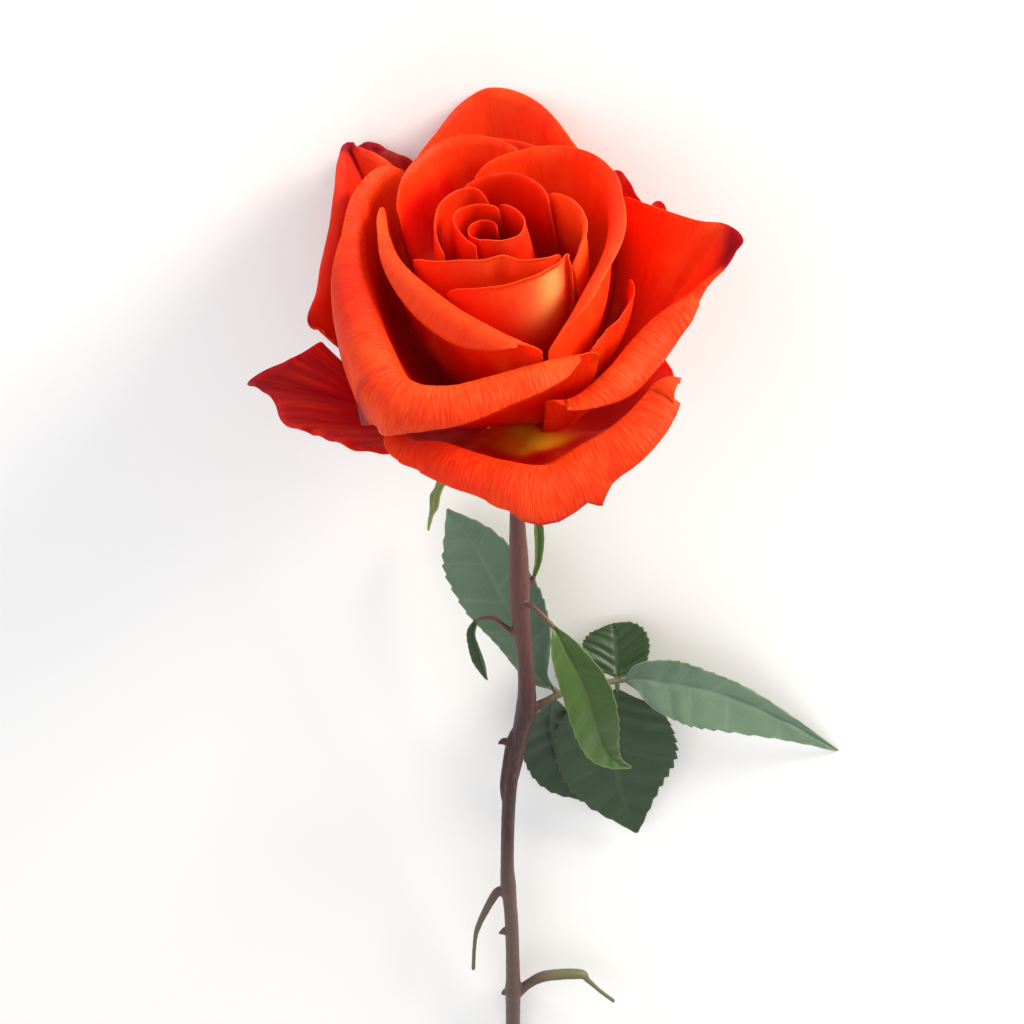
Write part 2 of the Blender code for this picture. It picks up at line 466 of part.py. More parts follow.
def tube(points):
    """A straight-sided tube through (x, y, z, radius) points, as a closed mesh."""
    curve = bpy.data.curves.new("tube", "CURVE")
    curve.dimensions = "3D"
    curve.bevel_depth = MM
    curve.bevel_resolution = 2
    curve.use_fill_caps = True
    line = curve.splines.new("POLY")
    line.points.add(len(points) - 1)
    for point, (x, y, z, radius) in zip(line.points, points):
        point.co = (x * MM, y * MM, z * MM, 1)
        point.radius = radius
    drawn = bpy.data.objects.new("tube", curve)
    bpy.context.scene.collection.objects.link(drawn)
    graph = bpy.context.evaluated_depsgraph_get()
    mesh = bpy.data.meshes.new_from_object(drawn.evaluated_get(graph))
    bpy.data.objects.remove(drawn, do_unlink=True)
    shape = bmesh.new()
    shape.from_mesh(mesh)
    bmesh.ops.remove_doubles(shape, verts=shape.verts, dist=0.00002)
    bmesh.ops.recalc_face_normals(shape, faces=shape.faces)
    shape.to_mesh(mesh)
    shape.free()
    mesh.materials.clear()
    return mesh


def add_stem(collection, parent):
    """The stem, with its stalks, side shoots, thorns and bud scales fused to it."""
    growth = bpy.data.collections.new("growth")
    bpy.context.scene.collection.children.link(growth)
    lines = list(GROWTH)
    for leaf in LEAVES:
        lines.append(leaf.stalk)
    for line in lines:
        growth.objects.link(bpy.data.objects.new("growth", tube(line)))
    made = bpy.data.objects.new("stem", tube(STEM))
    collection.objects.link(made)
    union = made.modifiers.new("Fuse", "BOOLEAN")
    union.operation = "UNION"
    union.operand_type = "COLLECTION"
    union.collection = growth
    union.solver = "EXACT"
    union.use_self = True
    graph = bpy.context.evaluated_depsgraph_get()
    fused = bpy.data.meshes.new_from_object(made.evaluated_get(graph))
    made.modifiers.clear()
    made.data = fused
    made.parent = parent
    fused.materials.clear()
    fused.materials.append(material("stem", STEM_BROWN, 0.55))
    fused.shade_smooth()
    for item in list(growth.objects):
        bpy.data.objects.remove(item, do_unlink=True)
    bpy.data.collections.remove(growth)


def leaf_base(leaf):
    """The foot of a blade: one gap past the end of its stalk."""
    end = Vector(leaf.stalk[-1][:3])
    going = (Vector(leaf.midrib[0][:3]) - end).normalized()
    return (*(end + going * GAP), 0.5, 0.5)


def add_leaf(leaf, collection, parent):
    """A folded blade with a toothed margin."""
    line = (leaf_base(leaf), *leaf.midrib)
    rows = 2 * leaf.teeth
    face = Vector(leaf.face)
    step = 0.01

    def place(across, along):
        x, y, z, left, right = through(line, along)
        going = (Vector(through(line, min(along + step, 1))[:3])
                 - Vector(through(line, max(along - step, 0))[:3])).normalized()
        up = (face - going * face.dot(going)).normalized()
        side = going.cross(up)
        share = 2 * across - 1
        half = max(right if share > 0 else left, 0.3)
        notched = abs(share) > 0.99 and round(along * rows) % 2 == 0
        reach = abs(share) * half * (1 - TOOTH_NOTCH if notched else 1)
        slant = 0 if notched or abs(share) < 0.99 else TOOTH_SLANT * half
        side = side if share > 0 else -side
        return Vector((x, y, z)) + side * reach + up * leaf.fold * reach + going * slant

    sheet(leaf.name, LEAF_COLUMNS, rows, place, LEAF_THICK, collection, parent,
          material(leaf.name, leaf.colour, 0.6))


def main():
    clear_scene()
    collection = bpy.data.collections.new("cut_rose")
    bpy.context.scene.collection.children.link(collection)
    flower = bpy.data.objects.new("flower", None)
    collection.objects.link(flower)
    flower.location = Vector(REST_AT) * MM
    flower.rotation_euler = (math.radians(LIE_TILT - 90), math.radians(LIE_ROLL), 0)
    bloom = bpy.data.objects.new("bloom", None)
    collection.objects.link(bloom)
    bloom.parent = flower
    nod = Matrix.Rotation(math.radians(BLOOM_NOD), 3, "X")
    lean = Matrix.Rotation(math.radians(-BLOOM_LEAN), 3, "Y")
    bloom.rotation_euler = (lean @ nod).to_euler()
    add_receptacle(collection, bloom)
    for number, sepal in enumerate(SEPALS, 1):
        add_sepal(number, sepal, collection, bloom)
    for petal in PETALS:
        add_petal(petal, collection, bloom)
    add_stem(collection, flower)
    for leaf in LEAVES:
        add_leaf(leaf, collection, flower)


main()
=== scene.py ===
"""The looks of a cut rose lying on a plain floor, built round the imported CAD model.

The rose is described in the flower's own frame, in millimetres: the origin is where the
petals join the receptacle, +Z runs up the bloom and the stem runs down -Z. Each petal,
sepal and leaf is a fine sheet that follows the same crest or midrib as its CAD solid.
"""

import logging
import math
from dataclasses import dataclass, field
from enum import Enum

import bmesh
import bpy
import numpy as np
from mathutils import Matrix, Vector


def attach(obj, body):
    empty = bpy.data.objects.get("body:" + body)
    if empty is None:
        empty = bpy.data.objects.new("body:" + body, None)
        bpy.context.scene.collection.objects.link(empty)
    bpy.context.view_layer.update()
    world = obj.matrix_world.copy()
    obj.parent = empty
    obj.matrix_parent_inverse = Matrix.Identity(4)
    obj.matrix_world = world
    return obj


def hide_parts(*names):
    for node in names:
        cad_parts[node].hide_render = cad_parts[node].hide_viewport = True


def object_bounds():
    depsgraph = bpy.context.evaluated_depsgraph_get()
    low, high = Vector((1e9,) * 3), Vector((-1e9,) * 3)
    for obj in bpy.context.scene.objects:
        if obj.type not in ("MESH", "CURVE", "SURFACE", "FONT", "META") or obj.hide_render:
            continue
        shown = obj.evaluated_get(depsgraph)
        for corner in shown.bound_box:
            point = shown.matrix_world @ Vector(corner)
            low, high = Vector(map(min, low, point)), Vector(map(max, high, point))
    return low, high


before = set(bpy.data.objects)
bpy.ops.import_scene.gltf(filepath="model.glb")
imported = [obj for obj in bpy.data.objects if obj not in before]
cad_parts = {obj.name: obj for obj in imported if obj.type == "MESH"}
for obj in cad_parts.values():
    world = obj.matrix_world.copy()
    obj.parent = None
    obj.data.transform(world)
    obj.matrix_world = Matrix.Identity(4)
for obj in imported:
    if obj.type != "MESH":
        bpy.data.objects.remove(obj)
CAD_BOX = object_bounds()
LOG = logging.getLogger("rose")

MM = 0.001
BODY = "root"

# How the rose lies, and how the bloom sits on its stem
LIE_TILT = 7.15
LIE_ROLL = -0.1
REST_AT = (-16.19, 90.29, 32.31)
BLOOM_NOD = 7
BLOOM_LEAN = 4.5

# Receptacle dome that carries the petals, and how a petal's wall leaves its claw
DOME_TOP = 1.6
DOME_DROP = 0.05
SEAT_RISE = 0.75
TANGENT_REACH = 0.38
CLAW_POWER = 2.2
GAP = 0.3

# The photograph's view, in the flower frame
VIEW_ANGLE = 54.0
VIEW_DISTANCE = 360.0
VIEW_TARGET = (-1.1, 0.0, -29.0)
VIEW_FIELD = 36.0


@dataclass(frozen=True)
class Crest:
    """The line of a petal: claw, crest and rolled lip.

    Each crest point is (azimuth, radius, height, arrival angle of the wall, lip length).
    """

    name: str
    claw: tuple[float, float, float]
    depart: float
    roll: tuple[float, float]
    crest: tuple[tuple[float, ...], ...]
    shift: tuple[float, float] = (0.0, 0.0)
    slot: str = "petal_orange_red"


@dataclass(frozen=True)
class Blade:
    """The line of a leaf: stalk end, midrib with half-widths, and the way its face looks."""

    name: str
    stalk: tuple[tuple[float, ...], ...]
    midrib: tuple[tuple[float, ...], ...]
    face: tuple[float, float, float]
    teeth: int
    fold: float
    slot: str = "leaf_dark_green"


CRESTS: tuple[Crest, ...] = (
    Crest("petal_back_dome", (95, 6.9, 42), 22, (4, 60), (
        (52, 35, 36, 75, 1.5), (64.4, 35.7, 43, 72, 2), (79.5, 42.1, 48.8, 72, 2.5),
        (90, 45.2, 50.5, 72, 2.5), (98.6, 44, 49.3, 75, 2), (109.9, 39.3, 45.6, 78, 1.5),
        (121.3, 37.2, 41.3, 80, 1),
    )),
    Crest("petal_back_left_tip", (131, 7, 20), 14, (3, 60), (
        (110.1, 42, 31, 65, 1), (116.6, 46.7, 37, 65, 1), (121.6, 48.3, 40.5, 62, 1),
        (125.4, 50.6, 42.5, 60, 1.2), (128.3, 50.9, 41.5, 62, 1), (132, 49.5, 37, 65, 1),
        (136.7, 47.6, 31, 65, 1),
    ), slot="petal_crimson"),
    Crest("petal_left_outer", (168, 7, 28), 14, (3, 120), (
        (121.5, 40.7, 37.5, 70, 1.5), (127.1, 45, 41.5, 64, 2), (130.1, 48.6, 43.3, 60, 2),
        (130.7, 51, 44.3, 58, 1.5), (135.4, 47.7, 43, 60, 2.5), (143.3, 42.6, 41, 66, 3),
        (154.5, 38.6, 38, 70, 3.5), (167.2, 36.9, 35, 70, 4), (177.1, 37.9, 31.5, 70, 3),
        (183.9, 40.4, 28.5, 60, 1.5), (185.5, 38.6, 25.5, 56, 1), (186.5, 36.5, 23.5, 52, 1),
    )),
    Crest("petal_left_low", (208, 7.2, 34), 2, (3, 50), (
        (180.5, 39.5, 21, 66, 1), (186.2, 42.6, 21.2, 52, 1), (189.5, 46.7, 21.2, 40, 1),
        (191, 51.2, 20.8, 30, 1), (192.9, 54.8, 20.4, 20, 1), (195.1, 52.5, 19.8, 20, 1),
        (198.6, 50.4, 18.8, 22, 1), (203.9, 50.3, 17.2, 25, 1.5), (206.8, 48.2, 16, 25, 1.5),
        (209, 45.1, 15, 25, 1.5), (212.8, 43.4, 14, 25, 1.5), (217.3, 41.1, 13, 25, 1.5),
        (222.8, 37.5, 12, 28, 1.2), (230.2, 33.7, 10.5, 30, 1), (240.9, 31.2, 9.5, 34, 1),
    ), slot="petal_crimson"),
    Crest("petal_front_low", (281, 6.9, 94), 8, (5.5, 130), (
        (228, 36.5, 19.5, 55, 4), (237, 39, 21.5, 55, 8), (248, 38.5, 23, 54, 10.5),
        (258, 40.5, 23.5, 54, 11.5), (268, 43.5, 24, 52, 12.4), (278, 46.5, 24.5, 46, 16),
        (286, 45.5, 26, 48, 16), (297, 46.4, 29.5, 55, 12), (305, 45.7, 31.4, 60, 10.5),
        (309.5, 45, 32.1, 62, 8.2), (312.2, 44.5, 31.6, 64, 6.2), (314.2, 43.8, 29.6, 66, 4),
        (317.1, 42.7, 26, 68, 1.8), (327.7, 38, 21, 68, 1), (342.6, 32.9, 17, 66, 1),
        (362.8, 29.7, 13, 60, 1),
    )),
    Crest("petal_right_back", (28, 6.9, 44), 16, (3, 70), (
        (4, 37.9, 32, 70, 1), (11.4, 36.1, 36, 72, 1), (16.1, 35.2, 39, 70, 1),
        (20.4, 34.8, 40.5, 70, 1), (19.9, 32.8, 39.8, 72, 1), (21.3, 31.4, 40, 74, 1),
        (26.5, 31.1, 41, 76, 1.2), (33.8, 31.8, 42.3, 74, 1.5), (41.8, 32.8, 42.6, 74, 1.2),
        (46.1, 31.8, 40, 76, 1), (52.1, 32.7, 34, 78, 1),
    ), slot="petal_deep_red"),
    Crest("petal_front_rolled", (225, 5.6, 64), 30, (4.5, 165), (
        (125.7, 35.9, 43.5, 86, 2), (135.3, 35.2, 45, 85, 3.5), (148.7, 33.4, 45, 85, 4.5),
        (169.6, 30.3, 44, 85, 6.5), (192.6, 29.2, 42.3, 84, 10), (211.2, 30.8, 41, 82, 12.5),
        (226.4, 34.2, 39.6, 76, 18.5), (235.7, 37.8, 38.4, 67, 22.5),
        (241.3, 39.6, 37.4, 67, 18.5), (247, 39.6, 36.6, 72, 14.5), (254, 38.2, 36.1, 74, 13),
        (266.1, 34.8, 36, 78, 11.8), (278.9, 33.2, 36.2, 80, 10.8), (289.9, 32.9, 36.1, 80, 9),
        (303, 34.1, 35.6, 80, 4.5),
    )),
    Crest("petal_right_wide", (321, 5.6, 58), 21, (3.6, 172), (
        (282.8, 32.2, 26, 75, 2.5), (291.8, 34.4, 27.4, 75, 6.5), (304.7, 34, 29.8, 74, 10),
        (318.3, 33.4, 32.4, 74, 11.5), (329.1, 34.5, 34.4, 71, 10.8), (336.8, 37.3, 35.9, 67, 8.2),
        (343.2, 40.6, 37.2, 61, 5), (348, 43.8, 38.6, 54, 2.2), (352, 46.1, 39.8, 50, 1),
        (356.1, 47.5, 40.6, 50, 1), (360.3, 44.6, 41.6, 58, 1), (361.1, 39.3, 42.4, 68, 1.2),
        (367.5, 33.7, 42.9, 76, 1.2), (378.8, 29.3, 42.8, 82, 1), (387.6, 28.1, 42, 84, 1),
    )),
    Crest("petal_right_mid", (380, 5.6, 20), 46, (2.5, 60), (
        (304.2, 28.8, 31, 84, 1), (309.1, 28.3, 31.6, 84, 1), (314, 27.8, 32.2, 84, 1),
        (319, 28, 32.8, 84, 1), (329, 27.6, 32.8, 84, 1), (344, 26.8, 32, 84, 1),
        (360, 25.6, 31, 84, 1),
    )),
    Crest("petal_back_mid", (88, 5.6, 50), 32, (3, 60), (
        (56, 31.5, 38, 84, 1), (70, 33, 42, 84, 1.5), (87, 34.3, 44.3, 84, 2),
        (102, 35, 44.8, 84, 2), (114, 34.6, 43, 84, 1),
    )),
    Crest("petal_back_left", (118, 4.4, 56), 42, (3, 90), (
        (77.4, 25.1, 46.4, 88, 1.5), (91.3, 27.8, 48.3, 88, 2), (102.2, 29.7, 48.8, 88, 2.5),
        (113.4, 30.2, 48.6, 88, 2.5), (126.6, 28.1, 48, 88, 2.5), (140, 26.1, 47, 88, 1.5),
        (154.5, 23.5, 44.6, 90, 1),
    )),
    Crest("petal_right_flared", (375, 4.4, 84), 42, (5, 85), (
        (285.4, 31.9, 37.6, 82, 2.5), (295, 28.6, 39.3, 86, 5), (307.4, 26.1, 41.5, 90, 7),
        (324.4, 24.4, 44, 92, 7), (345, 23.7, 45.7, 92, 7), (365.9, 23.9, 46.8, 92, 6),
        (384.8, 25.5, 48, 90, 4.5), (405.2, 26.2, 49, 88, 2.5), (423.2, 24, 49.4, 90, 2),
        (438.6, 21.2, 49.4, 92, 1.5), (454.4, 18.7, 48.8, 94, 1.5), (467, 17.3, 47.3, 95, 1),
    )),
    Crest("petal_left_rolled", (222, 4.4, 76), 42, (2.6, 150), (
        (149.4, 28, 43.2, 90, 1.5), (164.1, 25.2, 45, 92, 3), (187.5, 22.5, 44.4, 95, 5),
        (216.2, 21.4, 43.5, 97, 8), (238, 22.5, 42.7, 96, 9.5), (258.9, 25.6, 41.3, 92, 9.5),
        (272, 28.9, 40.1, 84, 6.5), (280.1, 31.6, 39, 74, 2.5), (283, 32.4, 37.6, 68, 1),
    )),
    Crest("petal_front_mid", (272, 3.3, 84), 52, (1.5, 90), (
        (237.5, 20, 42, 96, 0.8), (246, 20.1, 43.2, 97, 1.2), (261.3, 20.6, 44.7, 98, 1.6),
        (276.3, 20.4, 45.3, 98, 1.6), (290.5, 20.1, 45.7, 97, 1.4), (304, 19.2, 45.9, 96, 1),
        (315.7, 18.1, 45.8, 96, 0.8), (313.8, 19.9, 44.6, 96, 0.8),
    )),
    Crest("petal_right_small", (360, 3.3, 72), 54, (1.5, 110), (
        (317.2, 19.3, 44.2, 96, 1.4), (327.2, 18.9, 45.8, 96, 1.8), (340.2, 18, 47.1, 97, 1.8),
        (353.2, 16.9, 47.9, 98, 1.5), (366.7, 15.3, 48.4, 98, 1), (378.4, 13.4, 48.7, 98, 1),
        (392.5, 12, 48, 98, 0.8),
    )),
    Crest("petal_back_inner", (96, 3.3, 74), 57, (1.5, 60), (
        (17, 10.7, 48.2, 98, 0.8), (40.3, 11.3, 49.2, 98, 1), (60.9, 12.1, 49.5, 98, 1),
        (78.9, 12.9, 49.5, 98, 1), (96.2, 13.1, 49.1, 98, 1), (111.3, 13.7, 48.2, 97, 1),
        (122.1, 14.1, 47, 96, 0.8),
    )),
    Crest("petal_front_inner", (266, 2.3, 120), 58, (1.5, 40), (
        (203.7, 18.9, 44.3, 96, 0.8), (216.2, 17.8, 45.3, 97, 0.8), (234.8, 15.9, 46.3, 98, 0.8),
        (255.4, 14.7, 46.9, 98, 0.8), (273.9, 13.7, 47.3, 98, 0.8), (288.4, 16.1, 46.9, 98, 0.8),
        (301.7, 17.6, 46.8, 97, 0.8), (314.4, 17, 46, 96, 0.8),
    )),
    Crest("petal_left_inner", (156, 2.3, 80), 60, (1.5, 40), (
        (104.7, 9.2, 45.4, 98, 0.8), (115.5, 11.5, 48, 98, 0.8), (128.5, 12.4, 48.4, 98, 0.8),
        (144.8, 12.6, 48.5, 98, 0.8), (163.4, 12.6, 48.4, 98, 0.8), (181.8, 12.8, 48, 98, 0.8),
        (202.6, 13.6, 47.4, 98, 0.8), (220.8, 14.5, 46.4, 97, 0.8),
    )),
    Crest("petal_heart_left", (150, 1.35, 120), 64, (1.5, 30), (
        (62, 4.9, 48, 96, 0.6), (90, 6.2, 48, 97, 0.6), (117, 7.2, 48, 98, 0.6),
        (150, 7.6, 48, 98, 0.6), (188, 6.5, 47.8, 98, 0.6), (222, 6.4, 47.5, 97, 0.6),
        (250, 7.1, 47, 96, 0.6),
    ), shift=(-2.2, -2.2)),
    Crest("petal_heart_right", (335, 1.35, 120), 64, (1.5, 30), (
        (250, 4.9, 47, 96, 0.6), (277, 5.9, 47.3, 97, 0.6), (300, 7.1, 47.2, 98, 0.6),
        (325, 7.8, 47.3, 98, 0.6), (350, 7.5, 47.6, 98, 0.6), (375, 7.1, 47.9, 98, 0.6),
        (402, 6.8, 48, 97, 0.6), (430, 7, 47.8, 96, 0.6),
    ), shift=(-2.2, -2.2)),
    Crest("petal_bud", (165, 0.45, 150), 70, (1, 30), (
        (20, 2, 44.8, 95, 0.5), (80, 3.4, 45.8, 97, 0.5), (140, 3.9, 46, 97, 0.5),
        (200, 3.8, 45.8, 97, 0.5), (260, 3.5, 45.4, 97, 0.5), (310, 3.7, 45, 96, 0.5),
    ), shift=(-2.4, -1.8), slot="petal_deep_red"),
)

BLADES: tuple[Blade, ...] = (
    Blade("leaflet_pair_upper", (
        (11, 3, -87.9, 0.8), (9, 4, -86.6, 0.65),
    ), (
        (4.9, 6, -83.1, 3.5, 4), (0.9, 9, -72.5, 7.5, 9), (-4.1, 12, -62.5, 10.6, 11.5),
        (-10, 16, -51.6, 9.6, 8.5), (-16.9, 20, -42.6, 0.3, 0.3),
    ), (-0.35, -0.85, 0.35), 9, 0.16, "leaf_grey_green"),
    Blade("leaflet_pair_lower", (
        (11, 3, -87.9, 0.8), (9.2, 4.6, -90.6, 0.65),
    ), (
        (8.8, 9.5, -103.3, 7.5, 6), (10.4, 12.5, -116, 9.5, 9), (15.3, 13.6, -127.6, 8, 8),
        (24.8, 13.6, -138.4, 0.3, 0.3),
    ), (0.1, -0.95, -0.2), 8, 0.14, "leaf_dark_green"),
    Blade("leaflet_upper", (
        (25.5, 6.5, -86.6, 0.7), (25.5, 8.6, -87, 0.6),
    ), (
        (25.6, 10.2, -86.8, 6.2, 6.2), (25.6, 12.8, -84.2, 8.2, 8.4),
        (25.4, 15.6, -81.4, 8.6, 8.6), (25, 18, -79.6, 6.2, 6.2), (24.6, 20, -79, 0.3, 0.3),
    ), (0, -0.8, 0.6), 7, 0.12, "leaf_dark_green"),
    Blade("leaflet_lower", (
        (25.5, 6.5, -86.6, 0.7), (25.8, 7.4, -90.6, 0.6),
    ), (
        (25.2, 7.7, -94.2, 10, 10), (25.2, 8, -102, 15, 15), (26.2, 8.8, -115, 16.6, 15.5),
        (28.3, 9.8, -129, 11.2, 11), (33.6, 10.6, -147, 0.3, 0.3),
    ), (0.05, -1, -0.1), 9, 0.12, "leaf_dark_green"),
    Blade("leaflet_end", (
        (25.5, 6.5, -86.6, 0.7), (27.6, 6.4, -86.3, 0.6),
    ), (
        (31.7, 6, -85.5, 5.4, 4.4), (38.4, 6, -87.2, 7.6, 8.2), (46.8, 6.8, -89.6, 5.8, 10.2),
        (57.8, 9.4, -96.2, 4.4, 8.8), (73, 13.2, -108.3, 2.2, 4.6), (87.5, 17.1, -121.7, 0.3, 0.3),
    ), (0.1, -1, 0.3), 9, 0.18, "leaf_grey_green"),
    Blade("leaf_front", (
        (0.9, -1, -55.2, 0.8), (2.3, -2.6, -54.3, 0.65), (4.1, -4, -54, 0.6),
        (7.4, -6, -56.4, 0.6), (8.8, -7, -57.6, 0.6),
    ), (
        (11.6, -9.5, -62.5, 3.6, 4), (16, -12, -71.5, 5.8, 6), (19, -12, -82.5, 5.6, 6.2),
        (21.2, -10, -92.5, 4.2, 4.8), (24.4, -8, -100, 2, 2.4), (29.2, -5, -105.9, 0.3, 0.3),
    ), (0.3, -0.95, 0), 7, 0.35, "leaf_young_green"),
    Blade("leaf_curled", (
        (0.2, 0, -66, 0.75), (-2.2, -0.5, -63.3, 0.6), (-5.4, -1, -59.8, 0.5),
        (-8.3, 0, -60.6, 0.5), (-9.8, 0.7, -62, 0.5),
    ), (
        (-10.8, 1.5, -66.1, 1.3, 1.2), (-10.1, 1.5, -70.3, 1.7, 1.7), (-8.8, 2, -76.3, 1.7, 1.7),
        (-7.4, 3, -83.1, 0.3, 0.3),
    ), (-0.5, -0.9, 0), 5, 0.5, "leaf_dark_green"),
    Blade("leaf_bract", (
        (1.4, 0.5, -53, 0.8), (3.4, 1, -50.6, 0.7), (4.1, 1.4, -48.6, 0.6),
    ), (
        (4.9, 1.8, -44.4, 1, 1), (5.1, 2.2, -38.9, 1.3, 1.3), (4.9, 2.8, -33.5, 1.1, 1.1),
        (5.8, 3.2, -26.8, 0.3, 0.3),
    ), (0.5, -0.85, 0), 4, 0.4, "leaf_young_green"),
)

# Stem, top to cut end, and what grows from it, as (x, y, z, radius)
STEM_LINE: tuple[tuple[float, ...], ...] = (
    (1, 1.6, -13.4, 2.3), (0.6, 0.9, -20, 1.8), (0.1, 0.2, -29, 1.75), (0.5, 0, -43, 2.3),
    (0.6, 0, -52, 2.45), (1, 0, -61, 2.3), (2.1, 0, -74, 2), (2.6, 0, -84, 2.3),
    (2.3, 0, -91, 2.6), (1, 0, -98, 2.1), (-0.6, 0, -108, 1.9), (-1.9, 0, -123, 1.85),
    (-2.4, 0, -146, 1.85), (-2.1, 0, -157, 2.2), (-1.7, 0, -163, 1.95), (-1.1, 0, -176, 1.95),
    (-0.8, 0, -196, 2.1), (-0.7, 0, -202, 2.55), (-0.8, 0, -209, 2.2), (-0.8, 0, -243, 2.15),
)
GROWTH_LINES: tuple[tuple[tuple[float, ...], ...], ...] = (
    (
        (2.3, 0, -93, 1.3), (5, 0.8, -90.2, 1.2), (7.6, 1.6, -88.9, 0.95), (11, 3, -87.9, 0.85),
        (18.6, 5, -86.6, 0.75), (25.5, 6.5, -86.6, 0.75),
    ),
    (
        (4.6, 0.8, -91, 0.9), (3, 1, -97, 0.9), (1.7, 1, -105, 0.85), (0.2, 0.6, -115, 0.5),
    ),
    (
        (0.4, 0, -96, 0.9), (-1.6, 0, -101, 0.9), (-2.9, 0, -111, 0.9), (-3.5, 0, -119, 0.8),
        (-2.6, 0, -128, 0.5),
    ),
    (
        (-1.9, 0, -161, 1.5), (-4.6, 0, -158.6, 1.3), (-7.2, 0, -163.5, 1.15),
        (-10.6, 0, -173.6, 0.85), (-11.7, 0, -180.5, 0.6), (-12.3, 0, -192.5, 0.6),
    ),
    (
        (-0.6, 0, -205, 1.7), (4, 0, -199, 1.4), (9, 0, -195.6, 1.6), (18.6, 0, -194.8, 1.45),
        (21, 0, -197.6, 0.8), (25, 0, -202.9, 0.6), (29, 0, -207.4, 0.6),
    ),
    (
        (-1.4, 0, -102, 1.3), (-3.4, 0, -101.4, 0.9), (-4.6, 0, -102.4, 0.25),
    ),
    (
        (-1.2, 0, -176, 2), (-3, 0, -175.6, 1.3), (-4.9, 0, -176.8, 0.25),
    ),
    (
        (-0.9, 0, -203, 1.9), (-2.6, 0, -202.6, 1.2), (-4, 0, -204, 0.5),
    ),
    (
        (-0.9, 0.8, -222, 1.7), (0.6, -2.2, -221.6, 1), (1.4, -4, -222.8, 0.25),
    ),
)

# Receptacle below the dome: (radius, height) down its outer side
RECEPTACLE_RIM = 7.5
RECEPTACLE_SIDE: tuple[tuple[float, float], ...] = (
    (7.7, -1.9), (7.1, -3.6), (5.9, -6.6), (4.2, -9.6), (2.8, -11.8), (2.3, -12.8),
)

# Sepals, turned back below the petals: azimuth, then radius and height of the tip
SEPALS: tuple[tuple[float, float, float], ...] = (
    (203, 24.2, -27), (285, 25, -11), (357, 27, -13.5), (69, 24, -16), (141, 23, -19),
)
SEPAL_FOOT = (7.78, -3)
SEPAL_HALF_WIDTHS: tuple[float, ...] = (
    2.6, 3.3, 3.5, 3.2, 2.7, 3.6, 2, 1.5, 2.3, 1, 0.7, 0.3,
)


def linear(code: str) -> tuple[float, float, float, float]:
    """Turns an sRGB hex value into linear RGBA.

    Args:
        code: Six hex digits with a leading hash.

    Returns:
        The linear colour with alpha 1.
    """
    values = [int(code[n:n + 2], 16) / 255 for n in (1, 3, 5)]
    red, green, blue = (v / 12.92 if v <= 0.04045 else ((v + 0.055) / 1.055) ** 2.4 for v in values)
    return red, green, blue, 1.0


def through(points: np.ndarray, share: np.ndarray) -> np.ndarray:
    """Reads a Catmull-Rom curve through points of any size.

    Args:
        points: The points, one a row.
        share: Places on the curve, 0 to 1.

    Returns:
        The values there, one row for each place.
    """
    points = np.asarray(points, float)
    padded = np.vstack([2 * points[0] - points[1], points, 2 * points[-1] - points[-2]])
    place = np.clip(share, 0, 1) * (len(points) - 1)
    first = np.minimum(place.astype(int), len(points) - 2)
    t = (place - first)[..., None]
    a, b, c, d = (padded[first + step] for step in range(4))
    return 0.5 * (2 * b + (c - a) * t + (2 * a - 5 * b + 4 * c - d) * t**2
                  + (3 * b - 3 * c + d - a) * t**3)


def smooth(low: float, high: float, value: np.ndarray) -> np.ndarray:
    """Eases from 0 at low to 1 at high."""
    t = np.clip((value - low) / (high - low), 0, 1)
    return t * t * (3 - 2 * t)


def polar(azimuth: np.ndarray, radius: np.ndarray, height: np.ndarray) -> np.ndarray:
    """Turns azimuth in degrees, radius and height into points."""
    turn = np.radians(azimuth)
    return np.stack([radius * np.cos(turn), radius * np.sin(turn), height + 0 * turn], axis=-1)


def bezier(corners: list[np.ndarray], t: np.ndarray) -> np.ndarray:
    """Reads a cubic Bezier curve whose four corners may themselves vary from point to point."""
    weights = ((1 - t) ** 3, 3 * t * (1 - t) ** 2, 3 * t**2 * (1 - t), t**3)
    return sum(w * c for w, c in zip(weights, corners))


def unit(vectors: np.ndarray) -> np.ndarray:
    """Scales vectors to length 1."""
    return vectors / np.maximum(np.linalg.norm(vectors, axis=-1, keepdims=True), 1e-9)


def flower_frame() -> Matrix:
    """The flower's frame, from its millimetres to the floor's metres."""
    turn = (Matrix.Rotation(math.radians(LIE_ROLL), 4, "Y")
            @ Matrix.Rotation(math.radians(LIE_TILT - 90), 4, "X"))
    return Matrix.Translation(Vector(REST_AT) * MM) @ turn @ Matrix.Scale(MM, 4)


def bloom_frame() -> Matrix:
    """The bloom's frame: the flower's, nodded over the stem.

    Returns:
        The frame, from the bloom's millimetres to the floor's metres.
    """
    nod = Matrix.Rotation(math.radians(BLOOM_NOD), 4, "X")
    lean = Matrix.Rotation(math.radians(-BLOOM_LEAN), 4, "Y")
    return flower_frame() @ lean @ nod


def placed(points: np.ndarray, place: Matrix) -> np.ndarray:
    """Moves points by a matrix."""
    turned = np.array(place)
    return points @ turned[:3, :3].T + turned[:3, 3]


@dataclass(frozen=True)
class Layer:
    """A coat of colour over the base.

    It is as thick as the value that it follows. Ease, where given, is the value's start, the
    value where the coat is full, and the coat's most; within holds it to where that value is.
    """

    colour: str
    follows: str
    ease: tuple[float, float, float] | None = None
    within: str = ""
    curve: str = "SMOOTHSTEP"


